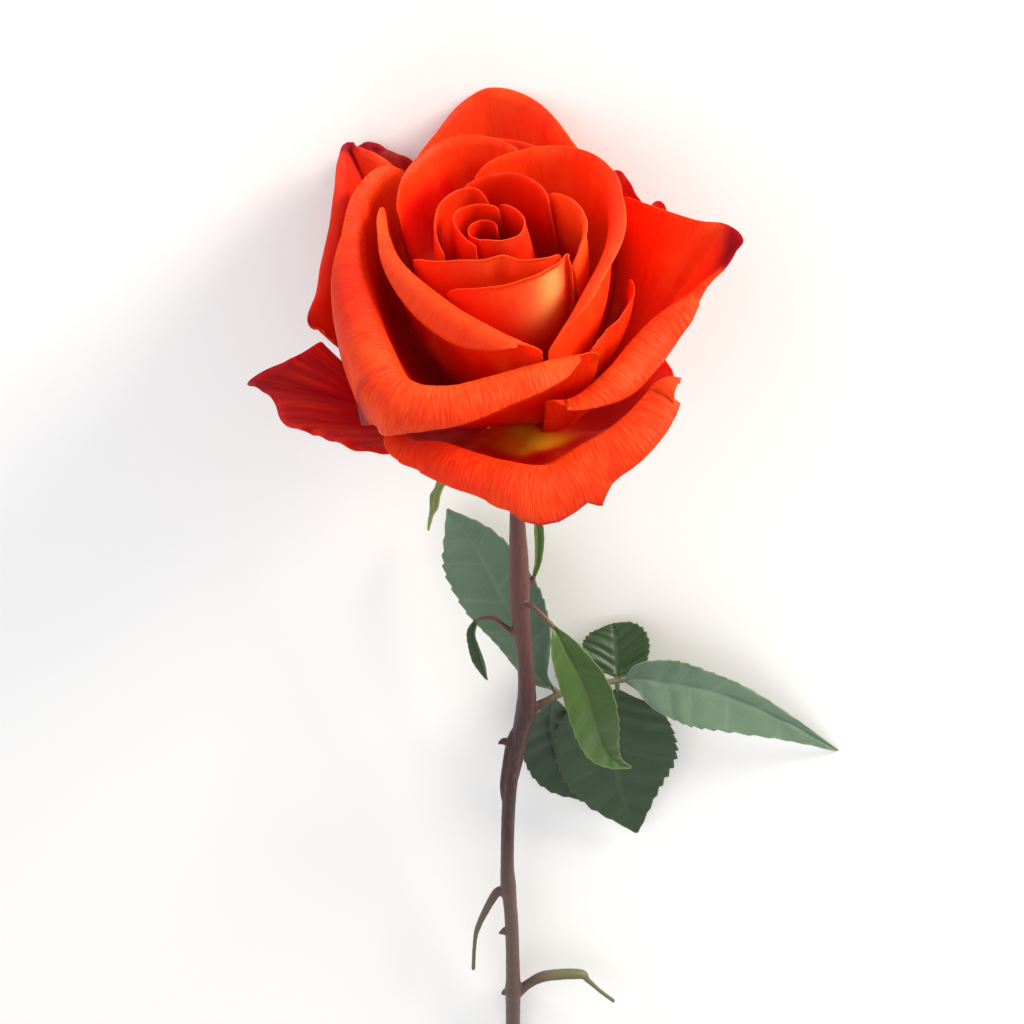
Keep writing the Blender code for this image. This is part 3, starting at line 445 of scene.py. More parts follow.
@dataclass
class Graph:
    """A node tree, and the sockets in it by name."""

    tree: bpy.types.NodeTree
    at: dict[str, bpy.types.NodeSocket] = field(default_factory=dict)

    def add(self, name: str, kind: str, *given: object, out: int | str = 0,
            inputs: dict | None = None, **settings: object) -> bpy.types.Node:
        """Adds a node with its settings and links.

        Args:
            name: What the node's output is called from here on.
            kind: The node's type name.
            *given: Its first inputs, in order: values, or names of earlier outputs.
            out: The output that the name stands for.
            inputs: Its other inputs, by name or number.
            **settings: Properties set on the node.

        Returns:
            The new node.
        """
        node = self.tree.nodes.new(kind)
        for key, value in settings.items():
            setattr(node, key, value)
        for key, value in (*enumerate(given), *(inputs or {}).items()):
            value = self.at.get(value, value) if isinstance(value, str) else value
            if isinstance(value, bpy.types.NodeSocket):
                self.tree.links.new(value, node.inputs[key])
            else:
                node.inputs[key].default_value = value
        if node.outputs:
            self.at[name] = node.outputs[out]
        return node

    def read(self, *names: str) -> None:
        """Reads the piece's own values, and its place on the sheet in millimetres as spot.

        Args:
            *names: The values' names.
        """
        for name in names:
            self.add(name, "ShaderNodeAttribute", out="Fac", attribute_name=name)
        self.add("spot", "ShaderNodeAttribute", out="Vector", attribute_name="sheet_mm")

    def lay(self, *layers: Layer) -> None:
        """Lays coats of colour over the base, one after another.

        Args:
            *layers: The coats, lowest first.
        """
        for layer in layers:
            share = layer.follows
            if layer.ease:
                low, high, most = layer.ease
                self.add("share", "ShaderNodeMapRange", share, low, high, 0.0, most,
                         interpolation_type=layer.curve)
                share = "share"
            if layer.within:
                self.add("share", "ShaderNodeMath", share, layer.within, operation="MULTIPLY")
                share = "share"
            self.add("base", "ShaderNodeMix", out=2, data_type="RGBA",
                     inputs={0: share, 6: "base", 7: linear(layer.colour)})

    def end_finish(self, **levels: object) -> None:
        """Ends a finish with its shader, from the base, the bump and the levels given.

        Args:
            **levels: The shader's constants, with underscores for the spaces in their names.
        """
        named = {key.replace("_", " "): value for key, value in levels.items()}
        self.add("coat", "ShaderNodeBsdfPrincipled",
                 inputs={"Base Color": "base", "Normal": "bump", **named})
        self.add("", "ShaderNodeOutputMaterial", "coat")

    def end_shape(self) -> bpy.types.NodeTree:
        """Ends a Geometry Nodes tree: makes its instances real and sets the finish.

        Returns:
            The finished tree.
        """
        self.add("shape", "GeometryNodeRealizeInstances", "shape")
        self.add("shape", "GeometryNodeSetMaterial", "shape", inputs={"Material": "Finish"})
        self.add("", "NodeGroupOutput", "shape")
        return self.tree


def start_finish(name: str) -> tuple[bpy.types.Material, Graph]:
    """Starts a material with an empty graph.

    Args:
        name: The material's name.

    Returns:
        The material and its graph.
    """
    made = bpy.data.materials.new(name)
    made.use_nodes = True
    made.node_tree.nodes.clear()
    return made, Graph(made.node_tree)


def start_shape(name: str, **inputs: str) -> Graph:
    """Starts a Geometry Nodes tree.

    Args:
        name: The tree's name.
        **inputs: The kind of each input between the geometry and the finish, by its name.

    Returns:
        The graph, with the tree's inputs in it by name.
    """
    tree = bpy.data.node_groups.new(name, "GeometryNodeTree")
    for key, kind in {"Geometry": "Geometry", **inputs, "Finish": "Material"}.items():
        tree.interface.new_socket(key, in_out="INPUT", socket_type="NodeSocket" + kind)
    tree.interface.new_socket("Geometry", in_out="OUTPUT", socket_type="NodeSocketGeometry")
    given = tree.nodes.new("NodeGroupInput").outputs
    return Graph(tree, {socket.name: socket for socket in given if socket.name})


def linked(name: str, data: bpy.types.ID) -> bpy.types.Object:
    """Makes an object in the scene.

    Args:
        name: Its name.
        data: Its mesh, lamp or camera.

    Returns:
        The new object.
    """
    made = bpy.data.objects.new(name, data)
    bpy.context.scene.collection.objects.link(made)
    return made


def give_values(mesh: bpy.types.Mesh, values: dict[str, np.ndarray]) -> None:
    """Gives a mesh's points a number or a vector each, by name.

    Args:
        mesh: The mesh.
        values: An array for each name, one row a point.
    """
    for key, value in values.items():
        kind, part = ("FLOAT", "value") if value.ndim == 1 else ("FLOAT_VECTOR", "vector")
        made = mesh.attributes.new(key, kind, "POINT")
        made.data.foreach_set(part, value.astype(np.float32).ravel())


def add_piece(name: str, mesh: bpy.types.Mesh, slot: str, *nodes: str) -> bpy.types.Object:
    """Links a finished mesh as a piece that rides on the rose and replaces its CAD nodes.

    Args:
        name: The piece's name.
        mesh: Its mesh, in place, in metres.
        slot: The record's material slot; not used.
        *nodes: The CAD nodes that it stands for.

    Returns:
        The new object.
    """
    made = linked(name, mesh)
    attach(made, BODY)
    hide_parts(*nodes)
    LOG.info("%s: %d faces", name, len(mesh.polygons))
    return made


def plain_mesh(made: bpy.types.Object) -> bpy.types.Mesh:
    """Turns an object and its modifiers into a plain smooth mesh, and removes the object.

    Args:
        made: The object.

    Returns:
        The mesh.
    """
    graph = bpy.context.evaluated_depsgraph_get()
    mesh = bpy.data.meshes.new_from_object(made.evaluated_get(graph))
    made.modifiers.clear()
    bpy.data.objects.remove(made, do_unlink=True)
    mesh.shade_smooth()
    return mesh


def add_tree(made: bpy.types.Object, tree: bpy.types.NodeTree, values: dict[str, object]) -> None:
    """Adds a Geometry Nodes tree to an object and sets its inputs by their identifiers.

    Args:
        made: The object that gets the modifier.
        tree: The node tree.
        values: Values for the tree's inputs, by name.
    """
    modifier = made.modifiers.new(tree.name, "NODES")
    modifier.node_group = tree
    for item in tree.interface.items_tree:
        if item.item_type == "SOCKET" and item.in_out == "INPUT" and item.name in values:
            modifier[item.identifier] = values[item.name]


@dataclass
class Sheet:
    """A grid of points with a thickness, and the values that its finish reads."""

    points: np.ndarray
    thickness: np.ndarray
    values: dict[str, np.ndarray] = field(default_factory=dict)
    under: np.ndarray | float = 0.0

    def flipped(self) -> "Sheet":
        """The same sheet with its front and back exchanged.

        Returns:
            The new sheet.
        """
        under = self.under[::-1] if isinstance(self.under, np.ndarray) else self.under
        values = {key: value[::-1] for key, value in self.values.items()}
        return Sheet(self.points[::-1], self.thickness[::-1], values, under)

    def normals(self) -> np.ndarray:
        """Unit normals of the grid, on its front side.

        Returns:
            A unit vector for each point.
        """
        across = np.gradient(self.points, axis=0)
        along = np.gradient(self.points, axis=1)
        return unit(np.cross(across, along))

    def lengths(self) -> tuple[np.ndarray, np.ndarray]:
        """Distance from the first column and from the first row, in millimetres.

        Returns:
            The two distances for each point.
        """
        side = np.linalg.norm(np.diff(self.points, axis=0), axis=-1)
        up = np.linalg.norm(np.diff(self.points, axis=1), axis=-1)
        across = np.vstack([np.zeros(side.shape[1]), np.cumsum(side, axis=0)])
        along = np.hstack([np.zeros((up.shape[0], 1)), np.cumsum(up, axis=1)])
        return across, along

    def edge(self) -> np.ndarray:
        """Distance to the nearest free margin, in millimetres."""
        across, along = self.lengths()
        return np.minimum(np.minimum(across, across[-1] - across), along[:, -1:] - along)

    def mesh(self, name: str, place: Matrix) -> bpy.types.Mesh:
        """Makes the closed mesh.

        Args:
            name: The mesh's name.
            place: The frame that the points are given in.

        Returns:
            The mesh in metres, with a UV map and the sheet's values as attributes.
        """
        columns, rows = self.points.shape[:2]
        normals = self.normals()
        half = normals * self.thickness[..., None] / 2
        more = normals * np.broadcast_to(self.under, self.thickness.shape)[..., None]
        top = placed(self.points + half, place).reshape(-1, 3)
        low = placed(self.points - half - more, place).reshape(-1, 3)
        index = np.arange(columns * rows).reshape(columns, rows)
        a, b, c, d = index[:-1, :-1], index[1:, :-1], index[1:, 1:], index[:-1, 1:]
        front = np.stack([a, b, c, d], axis=-1).reshape(-1, 4)
        back = front[:, ::-1] + columns * rows
        ring = np.concatenate([index[:, 0], index[-1, 1:], index[-2::-1, -1], index[0, -2:0:-1]])
        after = np.roll(ring, -1)
        wall = np.stack([after, ring, ring + columns * rows, after + columns * rows], axis=-1)
        mesh = bpy.data.meshes.new(name)
        faces = np.concatenate([front, back, wall]).tolist()
        mesh.from_pydata(np.concatenate([top, low]), [], faces)
        across, along = self.lengths()
        flat = np.stack([across / across.max(), along / along.max()], axis=-1).reshape(-1, 2)
        corner = np.empty(len(mesh.loops), np.int32)
        mesh.loops.foreach_get("vertex_index", corner)
        mesh.uv_layers.new(name="UVMap").data.foreach_set(
            "uv", np.tile(flat, (2, 1))[corner].astype(np.float32).ravel(),
        )
        wide = across[:, across[-1].argmax()][:, None]
        spot = np.stack([wide + 0 * along, along, 0 * along], axis=-1).reshape(-1, 3)
        values = {**self.values, "edge": self.edge()}
        give_values(mesh, {
            **{key: np.tile(value.ravel(), 2) for key, value in values.items()},
            "front": np.repeat([1.0, 0.0], columns * rows), "sheet_mm": np.tile(spot, (2, 1)),
        })
        mesh.shade_smooth()
        mesh.update()
        return mesh


@dataclass(frozen=True)
class Dress:
    """What a petal's margin and colour add to its line.

    Folds are (share, width, depth in mm); tips are (share, width, reach in mm, strength);
    nicks are (share, width, share of the lip); shade spots, painted shade where the bloom lies in
    shadow, are (share, width, strength); the cup's red and shade is the rise at which the wall's
    deeper red, partly painted shade deep in the cup, starts and is full.
    """

    frill: float = 0.09
    waves: float = 4.0
    phase: float = 0.0
    folds: tuple[tuple[float, float, float], ...] = ()
    tips: tuple[tuple[float, float, float, float], ...] = ()
    nicks: tuple[tuple[float, float, float], ...] = ()
    blush: float = 0.0
    painted_highlight: float = 0.0
    lit_crest: float = 0.0
    flame: float = 0.0
    foot: float = 0.0
    crinkle: float = 0.1
    shade_spots: tuple[tuple[float, float, float], ...] = ()
    cup_red_and_shade: tuple[float, float] = (0.98, 0.62)
    corner: float = 0.09
    drop: float = 1.15


# In the dresses below, shade spots are painted shade, and the pale golden patch and the lit crest
# are painted light.
DRESSES: dict[str, Dress] = {
    "petal_back_dome": Dress(
        frill=0.1, waves=3.5, phase=0.7, folds=((0.42, 0.04, 0.5), (0.56, 0.05, -0.5)),
        crinkle=0.3, flame=0.8, cup_red_and_shade=(0.80, 0.45), shade_spots=((0.75, 0.16, 0.35),),
    ),
    "petal_back_left_tip": Dress(frill=0.35, waves=4.0, blush=0.75, tips=((0.55, 0.4, 7.0, 0.9),)),
    # Its blush and its wide shade spot are painted shade, for the bloom's left side in shadow.
    "petal_left_outer": Dress(
        frill=0.25, waves=4.0, phase=1.3, blush=0.15, crinkle=0.2, shade_spots=((0.6, 0.5, 0.75),),
        tips=((0.27, 0.06, 7.0, 1.0), (0.82, 0.04, 2.5, 0.6)),
    ),
    "petal_left_low": Dress(
        frill=0.6, waves=5.0, phase=0.4, blush=0.9, crinkle=0.3, tips=((0.30, 0.18, 12.0, 0.7),),
    ),
    "petal_front_low": Dress(
        frill=0.15, waves=6.0, phase=0.2, crinkle=1.0, foot=1.0, shade_spots=((0.14, 0.14, 0.5),),
        folds=((0.26, 0.022, 1.0), (0.345, 0.016, 1.7), (0.43, 0.02, 1.0)),
        tips=((0.39, 0.05, 1.6, 0.5), (0.33, 0.03, 1.6, 0.5)),
        nicks=((0.30, 0.012, 0.10), (0.362, 0.012, 0.16), (0.43, 0.02, 0.07), (0.63, 0.05, -0.10)),
    ),
    "petal_right_back": Dress(frill=0.3, waves=4.0, blush=0.85, tips=((0.5, 0.5, 5.0, 0.6),)),
    "petal_front_rolled": Dress(
        frill=0.12, waves=4.0, phase=2.1, crinkle=1.0, shade_spots=((0.28, 0.15, 0.7),),
        tips=((0.515, 0.02, 9.0, 1.3), (0.56, 0.010, 8.0, 0.4)),
        folds=((0.52, 0.014, -1.1), (0.553, 0.012, 0.9), (0.59, 0.016, -0.7), (0.62, 0.02, 0.4)),
    ),
    "petal_right_wide": Dress(
        frill=0.2, waves=4.0, phase=1.1, crinkle=0.9, corner=0.04, cup_red_and_shade=(0.50, 0.20),
        tips=((0.62, 0.09, 9.0, 1.0), (0.54, 0.04, 9.0, 0.9)), shade_spots=((0.93, 0.06, 0.15),),
    ),
    "petal_right_mid": Dress(shade_spots=((0.5, 2.0, 0.1),)),
    "petal_back_mid": Dress(shade_spots=((0.5, 2.0, 0.5),)),
    "petal_right_flared": Dress(
        frill=0.12, waves=3.0, phase=0.5, crinkle=0.15, cup_red_and_shade=(0.70, 0.35),
    ),
    "petal_back_left": Dress(
        waves=3.0, phase=0.9, crinkle=0.15, cup_red_and_shade=(1.0, 0.84), shade_spots=((0.95, 0.2, 0.6),),
    ),
    "petal_left_rolled": Dress(frill=0.10, waves=3.0, phase=2.5, crinkle=0.35),
    "petal_front_mid": Dress(
        waves=2.5, phase=1.9, painted_highlight=1.0, corner=0.12, shade_spots=((0.1, 0.32, 0.5),),
    ),
    "petal_right_small": Dress(frill=0.12, waves=3.0, phase=0.9, lit_crest=0.5, shade_spots=((0.6, 0.3, 0.4),)),
    "petal_back_inner": Dress(waves=3.0, phase=0.2, shade_spots=((0.5, 2.0, 0.7),)),
    "petal_front_inner": Dress(
        frill=0.16, waves=2.0, phase=0.4, corner=0.12, shade_spots=((0.1, 0.4, 0.5), (0.9, 0.2, 0.5)),
    ),
    "petal_left_inner": Dress(waves=2.0, phase=1.4, shade_spots=((0.5, 2.0, 0.6),)),
    "petal_heart_left": Dress(waves=2.0, phase=2.4, shade_spots=((0.5, 2.0, 0.7),)),
    "petal_heart_right": Dress(waves=2.0, phase=0.7, shade_spots=((0.5, 2.0, 0.7),)),
    "petal_bud": Dress(waves=2.0, phase=1.0, shade_spots=((0.5, 2.0, 0.95),)),
}


@dataclass
class Petal:
    """One petal: a wall from its claw to its crest, and a lip that rolls outwards."""

    crest: Crest
    dress: Dress
    columns: int = 120
    wall_rows: int = 34
    lip_rows: int = 24
    body_mm: float = 0.50
    margin_mm: float = 0.22
    margin_reach_mm: float = 3.0
    frill_reach_mm: float = 5.0
    # How far in from the margin the painted shade eases off, leaving a painted lit rim.
    rim_mm: float = 1.3
    lip_row_mm: float = 0.6
    least_lip_rows: int = 5
    crowding: float = 1.5
    lip_out: float = 0.5
    lip_up: float = 0.87
    side_step: float = 0.004

    def wall_end(self, share: np.ndarray) -> tuple[np.ndarray, ...]:
        """Where the wall ends and the lip starts: the crest less the lip's own rise.

        Args:
            share: Places across the petal, 0 to 1.

        Returns:
            Azimuth, radius, height, arrival angle and lip length there.
        """
        azimuth, radius, height, arrive, lip = np.moveaxis(
            through(np.array(self.crest.crest), share), -1, 0,
        )
        sink = np.minimum(self.crest.roll[0], 2 * lip / math.pi)
        return azimuth, radius - self.lip_out * sink, height - self.lip_up * sink, arrive, lip

    def wall(self, share: np.ndarray, rise: np.ndarray) -> np.ndarray:
        """Points of the wall.

        Args:
            share: Places across the petal, 0 to 1.
            rise: Places up the wall, 0 at the claw to 1 at its end.

        Returns:
            The points, in the bloom's frame.
        """
        azimuth, radius, height, arrive, _ = self.wall_end(share)
        claw_azimuth, claw_radius, claw_span = self.crest.claw
        foot = (claw_radius, DOME_TOP - DOME_DROP * claw_radius**2 + SEAT_RISE)
        reach = TANGENT_REACH * np.hypot(radius - foot[0], height - foot[1])
        leave = math.radians(self.crest.depart)
        reached = np.radians(arrive)
        out = bezier([foot[0], foot[0] + reach * math.cos(leave),
                      radius - reach * np.cos(reached), radius], rise)
        up = bezier([foot[1], foot[1] + reach * math.sin(leave),
                     height - reach * np.sin(reached), height], rise)
        claw = claw_azimuth + claw_span * (share - 0.5)
        turned = azimuth + (claw - azimuth) * (1 - rise) ** CLAW_POWER
        lean = (up / height)[..., None]
        return polar(turned, out, up) + lean * np.array([*self.crest.shift, 0.0])

    def surface(self, share: np.ndarray, rise: np.ndarray) -> np.ndarray:
        """Points of the petal: rise 0 to 1 is the wall, and 1 to 2 the lip.

        Args:
            share: Places across the petal, 0 to 1.
            rise: Places up the petal, 0 to 2.

        Returns:
            The points, in the bloom's frame.
        """
        low = np.maximum(share - self.side_step, 0)
        high = np.minimum(share + self.side_step, 1)
        full = np.ones_like(share)
        along = unit(self.wall(high, full) - self.wall(low, full))
        azimuth, _, _, arrive, lip = self.wall_end(share)
        going = polar(azimuth, np.cos(np.radians(arrive)), np.sin(np.radians(arrive)))
        outward = unit(np.cross(along, going))
        going = unit(np.cross(outward, along))
        radius, most = self.crest.roll[0], math.radians(self.crest.roll[1])
        run = np.maximum(rise - 1, 0) * lip
        turn = np.minimum(run / radius, most)
        straight = np.maximum(run - radius * most, 0)
        ahead = radius * np.sin(turn) + straight * np.cos(turn)
        aside = radius * (1 - np.cos(turn)) + straight * np.sin(turn)
        rolled = self.wall(share, full) + going * ahead[..., None] + outward * aside[..., None]
        return np.where((rise > 1)[..., None], rolled, self.wall(share, np.minimum(rise, 1)))

    @staticmethod
    def highlight_patch(share: np.ndarray, rise: np.ndarray) -> np.ndarray:
        """A painted highlight: the pale golden patch of painted light under the right half of a
        petal's crest.

        Args:
            share: Places across the petal, 0 to 1.
            rise: Places up the petal, 0 to 2.

        Returns:
            Its strength there, 0 to 1.
        """
        middle = np.exp(-((share - 0.67) / 0.085) ** 2 - ((rise - 0.94) / 0.10) ** 2)
        around = np.exp(-((share - 0.60) / 0.15) ** 2 - ((rise - 0.86) / 0.14) ** 2)
        return np.clip(0.85 * middle + 0.45 * around, 0, 1)

    def sheet(self) -> Sheet:
        """Makes the petal's grid, frilled and folded, with the values its finish reads.

        Returns:
            The sheet, with its front towards the bloom's axis.
        """
        dress = self.dress
        across = 0.5 - 0.5 * np.cos(np.linspace(0, math.pi, self.columns))
        longest = max(point[4] for point in self.crest.crest)
        lip_rows = int(np.clip(longest / self.lip_row_mm, self.least_lip_rows, self.lip_rows))
        up = np.concatenate([1 - np.linspace(1, 0, self.wall_rows) ** self.crowding,
                             1 + np.linspace(0, 1, lip_rows + 1)[1:]])
        share, rise = np.meshgrid(across, up, indexing="ij")
        near = np.clip(1 - np.minimum(share, 1 - share) / dress.corner, 0, 1)
        most = 2 - dress.drop * (1 - np.sqrt(1 - near**2))
        for place, width, depth in dress.nicks:
            most = most - depth * np.exp(-((share - place) / width) ** 2)
        rise = rise / 2 * most
        made = Sheet(self.surface(share, rise), np.ones_like(share))
        inward = -unit(made.points * np.array([1, 1, 0]))
        facing = (made.normals() * inward).sum(axis=-1)[:, :self.wall_rows].mean()
        edge = made.edge()
        outer = np.exp(-edge / self.frill_reach_mm)
        wave = np.sin(2 * math.pi * dress.waves * share + dress.phase)
        wave += 0.5 * np.sin(2 * math.pi * dress.waves * 2.3 * share + 3 * dress.phase)
        push = dress.frill * wave * outer * smooth(0.75, 1.3, rise)
        for place, width, depth in dress.folds:
            push += depth * np.exp(-((share - place) / width) ** 2) * smooth(0.9, 2.0, rise)
        made.points = made.points + made.normals() * push[..., None]
        tip = np.zeros_like(share)
        for place, width, reach, strength in dress.tips:
            spot = np.exp(-((share - place) / width) ** 2) * np.exp(-edge / reach)
            tip = np.maximum(tip, strength * spot)
        # Painted shade: deep red patches where the bloom lies in shadow, on its left and deep
        # inside.
        shade = np.zeros_like(share)
        for place, width, strength in dress.shade_spots:
            shade = np.maximum(shade, strength * np.exp(-((share - place) / width) ** 2))
        thin = smooth(0.0, self.margin_reach_mm, edge)
        made.thickness = self.margin_mm + (self.body_mm - self.margin_mm) * thin
        made.values = {
            "rise": rise,
            "tip": tip,
            "blush": np.full_like(share, dress.blush),
            # Painted highlight: pale golden painted light under the crest.
            "painted_highlight": dress.painted_highlight * self.highlight_patch(share, rise),
            # Painted light: warmer orange towards the crest, where the rim catches light.
            "lit_crest": dress.lit_crest * smooth(0.7, 1.0, rise),
            "flame": dress.flame * smooth(0.6, 1.2, rise),
            "foot": dress.foot * smooth(0.42, 0.25, rise) * np.exp(-((share - 0.42) / 0.2) ** 2),
            # Painted shade, eased off near the margins as a painted lit rim.
            "shade": shade * (1 - 0.55 * np.exp(-edge / self.rim_mm)),
            # Deeper red down the wall to the claw: partly the petal's own red, partly painted shade
            # deep in the cup.
            "cup_red_and_shade": smooth(*dress.cup_red_and_shade, rise),
            "ripple": dress.crinkle * smooth(0.80, 1.15, rise),
        }
        return made if facing > 0 else made.flipped()


def ripple_tree() -> bpy.types.NodeTree:
    """Geometry Nodes that raise fine ripples across a petal's lip and give it its finish.

    Returns:
        The tree, with the ripples' height in metres and their pitch in millimetres as inputs.
    """
    graph = start_shape("petal_ripple", Height="Float", Spacing="Float", Length="Float",
                        Seed="Float")
    for name, kind in (("sheet_mm", "FLOAT_VECTOR"), ("ripple", "FLOAT"), ("front", "FLOAT")):
        graph.add(name, "GeometryNodeInputNamedAttribute", name,
                  out="Attribute", data_type=kind)
    apart = graph.add("wide", "ShaderNodeSeparateXYZ", "sheet_mm")
    graph.at["long"] = apart.outputs["Y"]
    graph.add("normal", "GeometryNodeInputNormal")
    for name, operation, *values in (
        ("wide", "DIVIDE", "wide", "Spacing"), ("long", "DIVIDE", "long", "Length"),
        ("side", "MULTIPLY_ADD", "front", 2.0, -1.0),
    ):
        graph.add(name, "ShaderNodeMath", *values, operation=operation)
    graph.add("where", "ShaderNodeCombineXYZ", "wide", "long", "Seed")
    graph.add("level", "ShaderNodeTexNoise", out="Fac",
              inputs={"Vector": "where", "Scale": 1.0, "Detail": 2.0})
    for operation, value in (("SUBTRACT", 0.5), ("MULTIPLY", "ripple"), ("MULTIPLY", "Height"),
                             ("MULTIPLY", "side")):
        graph.add("level", "ShaderNodeMath", "level", value, operation=operation)
    graph.add("offset", "ShaderNodeVectorMath", "normal", inputs={"Scale": "level"},
              operation="SCALE")
    graph.add("shape", "GeometryNodeSetPosition", "Geometry", inputs={"Offset": "offset"})
    return graph.end_shape()


@dataclass(frozen=True)
class PetalFinish:
    """Rose petal: grown tissue with velvety cells, orange-red where it faces out, red within,
    deeper red down the cup partly as painted shade, with painted shade spots and painted
    highlights.
    """

    name: str = "rose_petal_velvet"
    inside: str = "#F53C10"
    outside: str = "#F0360C"
    # Wall and deep are the deeper reds down the cup, partly painted shade; deep is also the colour
    # of the painted shade spots.
    wall: str = "#DC1602"
    deep: str = "#C40400"
    foot: str = "#FFC41C"
    # Pale golden colour of the painted highlight.
    highlight_patch: str = "#FF9E5A"
    pale: str = "#F8864E"
    # Warm orange: a random warmer tone, and also the painted highlights on the margins and the
    # crest.
    warm: str = "#FF5A20"
    dried: str = "#80101E"
    dusk: str = "#9C1626"
    roughness: float = 0.50
    crinkle_mm: float = 0.5
    crinkle_run_mm: float = 3.6
    streak_mm: float = 2.2
    streak_run_mm: float = 16.0
    clouds_per_metre: float = 80.0

    def build(self) -> bpy.types.Material:
        """Makes the material.

        Returns:
            The material. Its pattern runs on the petal's own millimetres.
        """
        made, graph = start_finish(self.name)
        graph.read("front", "cup_red_and_shade", "edge", "ripple", "tip", "blush", "painted_highlight", "lit_crest", "flame",
                   "foot", "shade")
        for name, wide, long in (("crinkle", self.crinkle_mm, self.crinkle_run_mm),
                                 ("streak", self.streak_mm, self.streak_run_mm)):
            graph.add("drawn", "ShaderNodeMapping", "spot",
                      inputs={"Scale": (1 / wide, 1 / long, 1.0)})
            graph.add(name, "ShaderNodeTexNoise", out="Fac",
                      inputs={"Vector": "drawn", "Scale": 1.0, "Detail": 2.0})
        graph.add("place", "ShaderNodeTexCoord", out="Object")
        graph.add("cloud", "ShaderNodeTexNoise", out="Fac",
                  inputs={"Vector": "place", "Scale": self.clouds_per_metre, "Detail": 2.0})
        for name, operation, *values in (
            ("broken", "MULTIPLY_ADD", "cloud", 1.2, 0.5), ("dry", "MULTIPLY", "tip", "broken"),
            ("rough", "MULTIPLY_ADD", "ripple", 0.8, 0.2),
            ("height", "MULTIPLY", "crinkle", "rough"),
        ):
            graph.add(name, "ShaderNodeMath", *values, operation=operation)
        graph.add("base", "ShaderNodeMix", out=2, data_type="RGBA",
                  inputs={0: "front", 6: linear(self.outside), 7: linear(self.inside)})
        graph.lay(
            # Deeper red down the cup, deepest on the inner face: partly the petal's own red, partly
            # painted shade.
            Layer(self.wall, "cup_red_and_shade", (0.0, 0.7, 1.0)),
            Layer(self.deep, "cup_red_and_shade", (0.4, 1.0, 1.0), "front"),
            Layer(self.warm, "cloud", (0.45, 0.70, 0.45)),
            Layer(self.wall, "streak", (0.45, 0.75, 0.30)),
            Layer(self.warm, "crinkle", (0.46, 0.64, 0.40), "ripple"),
            Layer(self.wall, "crinkle", (0.46, 0.30, 0.40), "ripple"),
            # Painted shade in deep red, the yellow foot, then the painted highlight in pale golden
            # orange.
            Layer(self.deep, "shade"), Layer(self.foot, "foot"), Layer(self.highlight_patch, "painted_highlight"),
            # Painted light on the crest, in warm orange.
            Layer(self.warm, "lit_crest"),
            Layer(self.pale, "streak", (0.52, 0.70, 1.0), "flame"),
            Layer(self.dusk, "streak", (0.85, 0.35, 1.0), "blush"),
            # Painted highlight: warmer orange along the margins, where the thin edges catch light.
            Layer(self.warm, "edge", (0.30, 0.0, 0.15)),
            Layer(self.dried, "dry", (0.08, 0.75, 1.0)),
        )
        graph.add("bump", "ShaderNodeBump",
                  inputs={"Height": "height", "Strength": 0.6, "Distance": 0.0006})
        graph.end_finish(Roughness=self.roughness, IOR=1.40, Specular_IOR_Level=0.16,
                         Subsurface_Weight=0.5, Subsurface_Radius=(1.0, 0.12, 0.03),
                         Subsurface_Scale=0.0025)
        return made


@dataclass
class Bloom:
    """The bloom: every petal, each its own piece."""

    crests: tuple[Crest, ...] = CRESTS
    ripple_height_mm: float = 0.26
    ripple_spacing_mm: float = 2.0
    ripple_length_mm: float = 9.0
    first_seed: float = 10.0

    def build(self) -> None:
        """Builds and dresses the petals from the outer whorl to the centre."""
        tree = ripple_tree()
        finish = PetalFinish().build()
        for number, crest in enumerate(self.crests):
            petal = Petal(crest, DRESSES[crest.name])
            made = linked(crest.name, petal.sheet().mesh(crest.name, bloom_frame()))
            add_tree(made, tree, {
                "Height": self.ripple_height_mm * MM, "Spacing": self.ripple_spacing_mm,
                "Length": self.ripple_length_mm, "Seed": self.first_seed + number,
                "Finish": finish,
            })
            add_piece(crest.name + "_skin", plain_mesh(made), crest.slot, crest.name)


@dataclass(frozen=True)
class LeafFinish:
    """Rose leaf: waxy upper side, matt and paler underside, veins lighter than the blade."""

    name: str
    upper: str
    under: str
    vein: str
    margin: str
    roughness: float = 0.42
    net_mm: float = 0.9
    cloud_mm: float = 4.0

    def build(self) -> bpy.types.Material:
        """Makes the material.

        Returns:
            The material: soft mottling, and a fine net of veins between the large ones.
        """
        made, graph = start_finish(self.name)
        graph.read("front", "vein", "edge")
        graph.add("net", "ShaderNodeTexVoronoi", out="Distance", feature="DISTANCE_TO_EDGE",
                  inputs={"Vector": "spot", "Scale": 1 / self.net_mm})
        graph.add("cloud", "ShaderNodeTexNoise", out="Fac",
                  inputs={"Vector": "spot", "Scale": 1 / self.cloud_mm, "Detail": 3.0})
        graph.add("base", "ShaderNodeMix", out=2, data_type="RGBA",
                  inputs={0: "front", 6: linear(self.under), 7: linear(self.upper)})
        graph.lay(
            Layer(self.vein, "cloud", (0.0, 1.0, 0.5), curve="LINEAR"),
            Layer(self.vein, "net", (0.10, 0.0, 0.25)), Layer(self.vein, "vein"),
            Layer(self.margin, "edge", (0.45, 0.0, 0.7), curve="LINEAR"),
        )
        graph.add("bump", "ShaderNodeBump",
                  inputs={"Height": "net", "Strength": 0.25, "Distance": 0.0002})
        graph.end_finish(Roughness=self.roughness, IOR=1.45, Specular_IOR_Level=0.5,
                         Subsurface_Weight=0.08, Subsurface_Radius=(0.4, 1.0, 0.2),
                         Subsurface_Scale=0.0006)
        return made


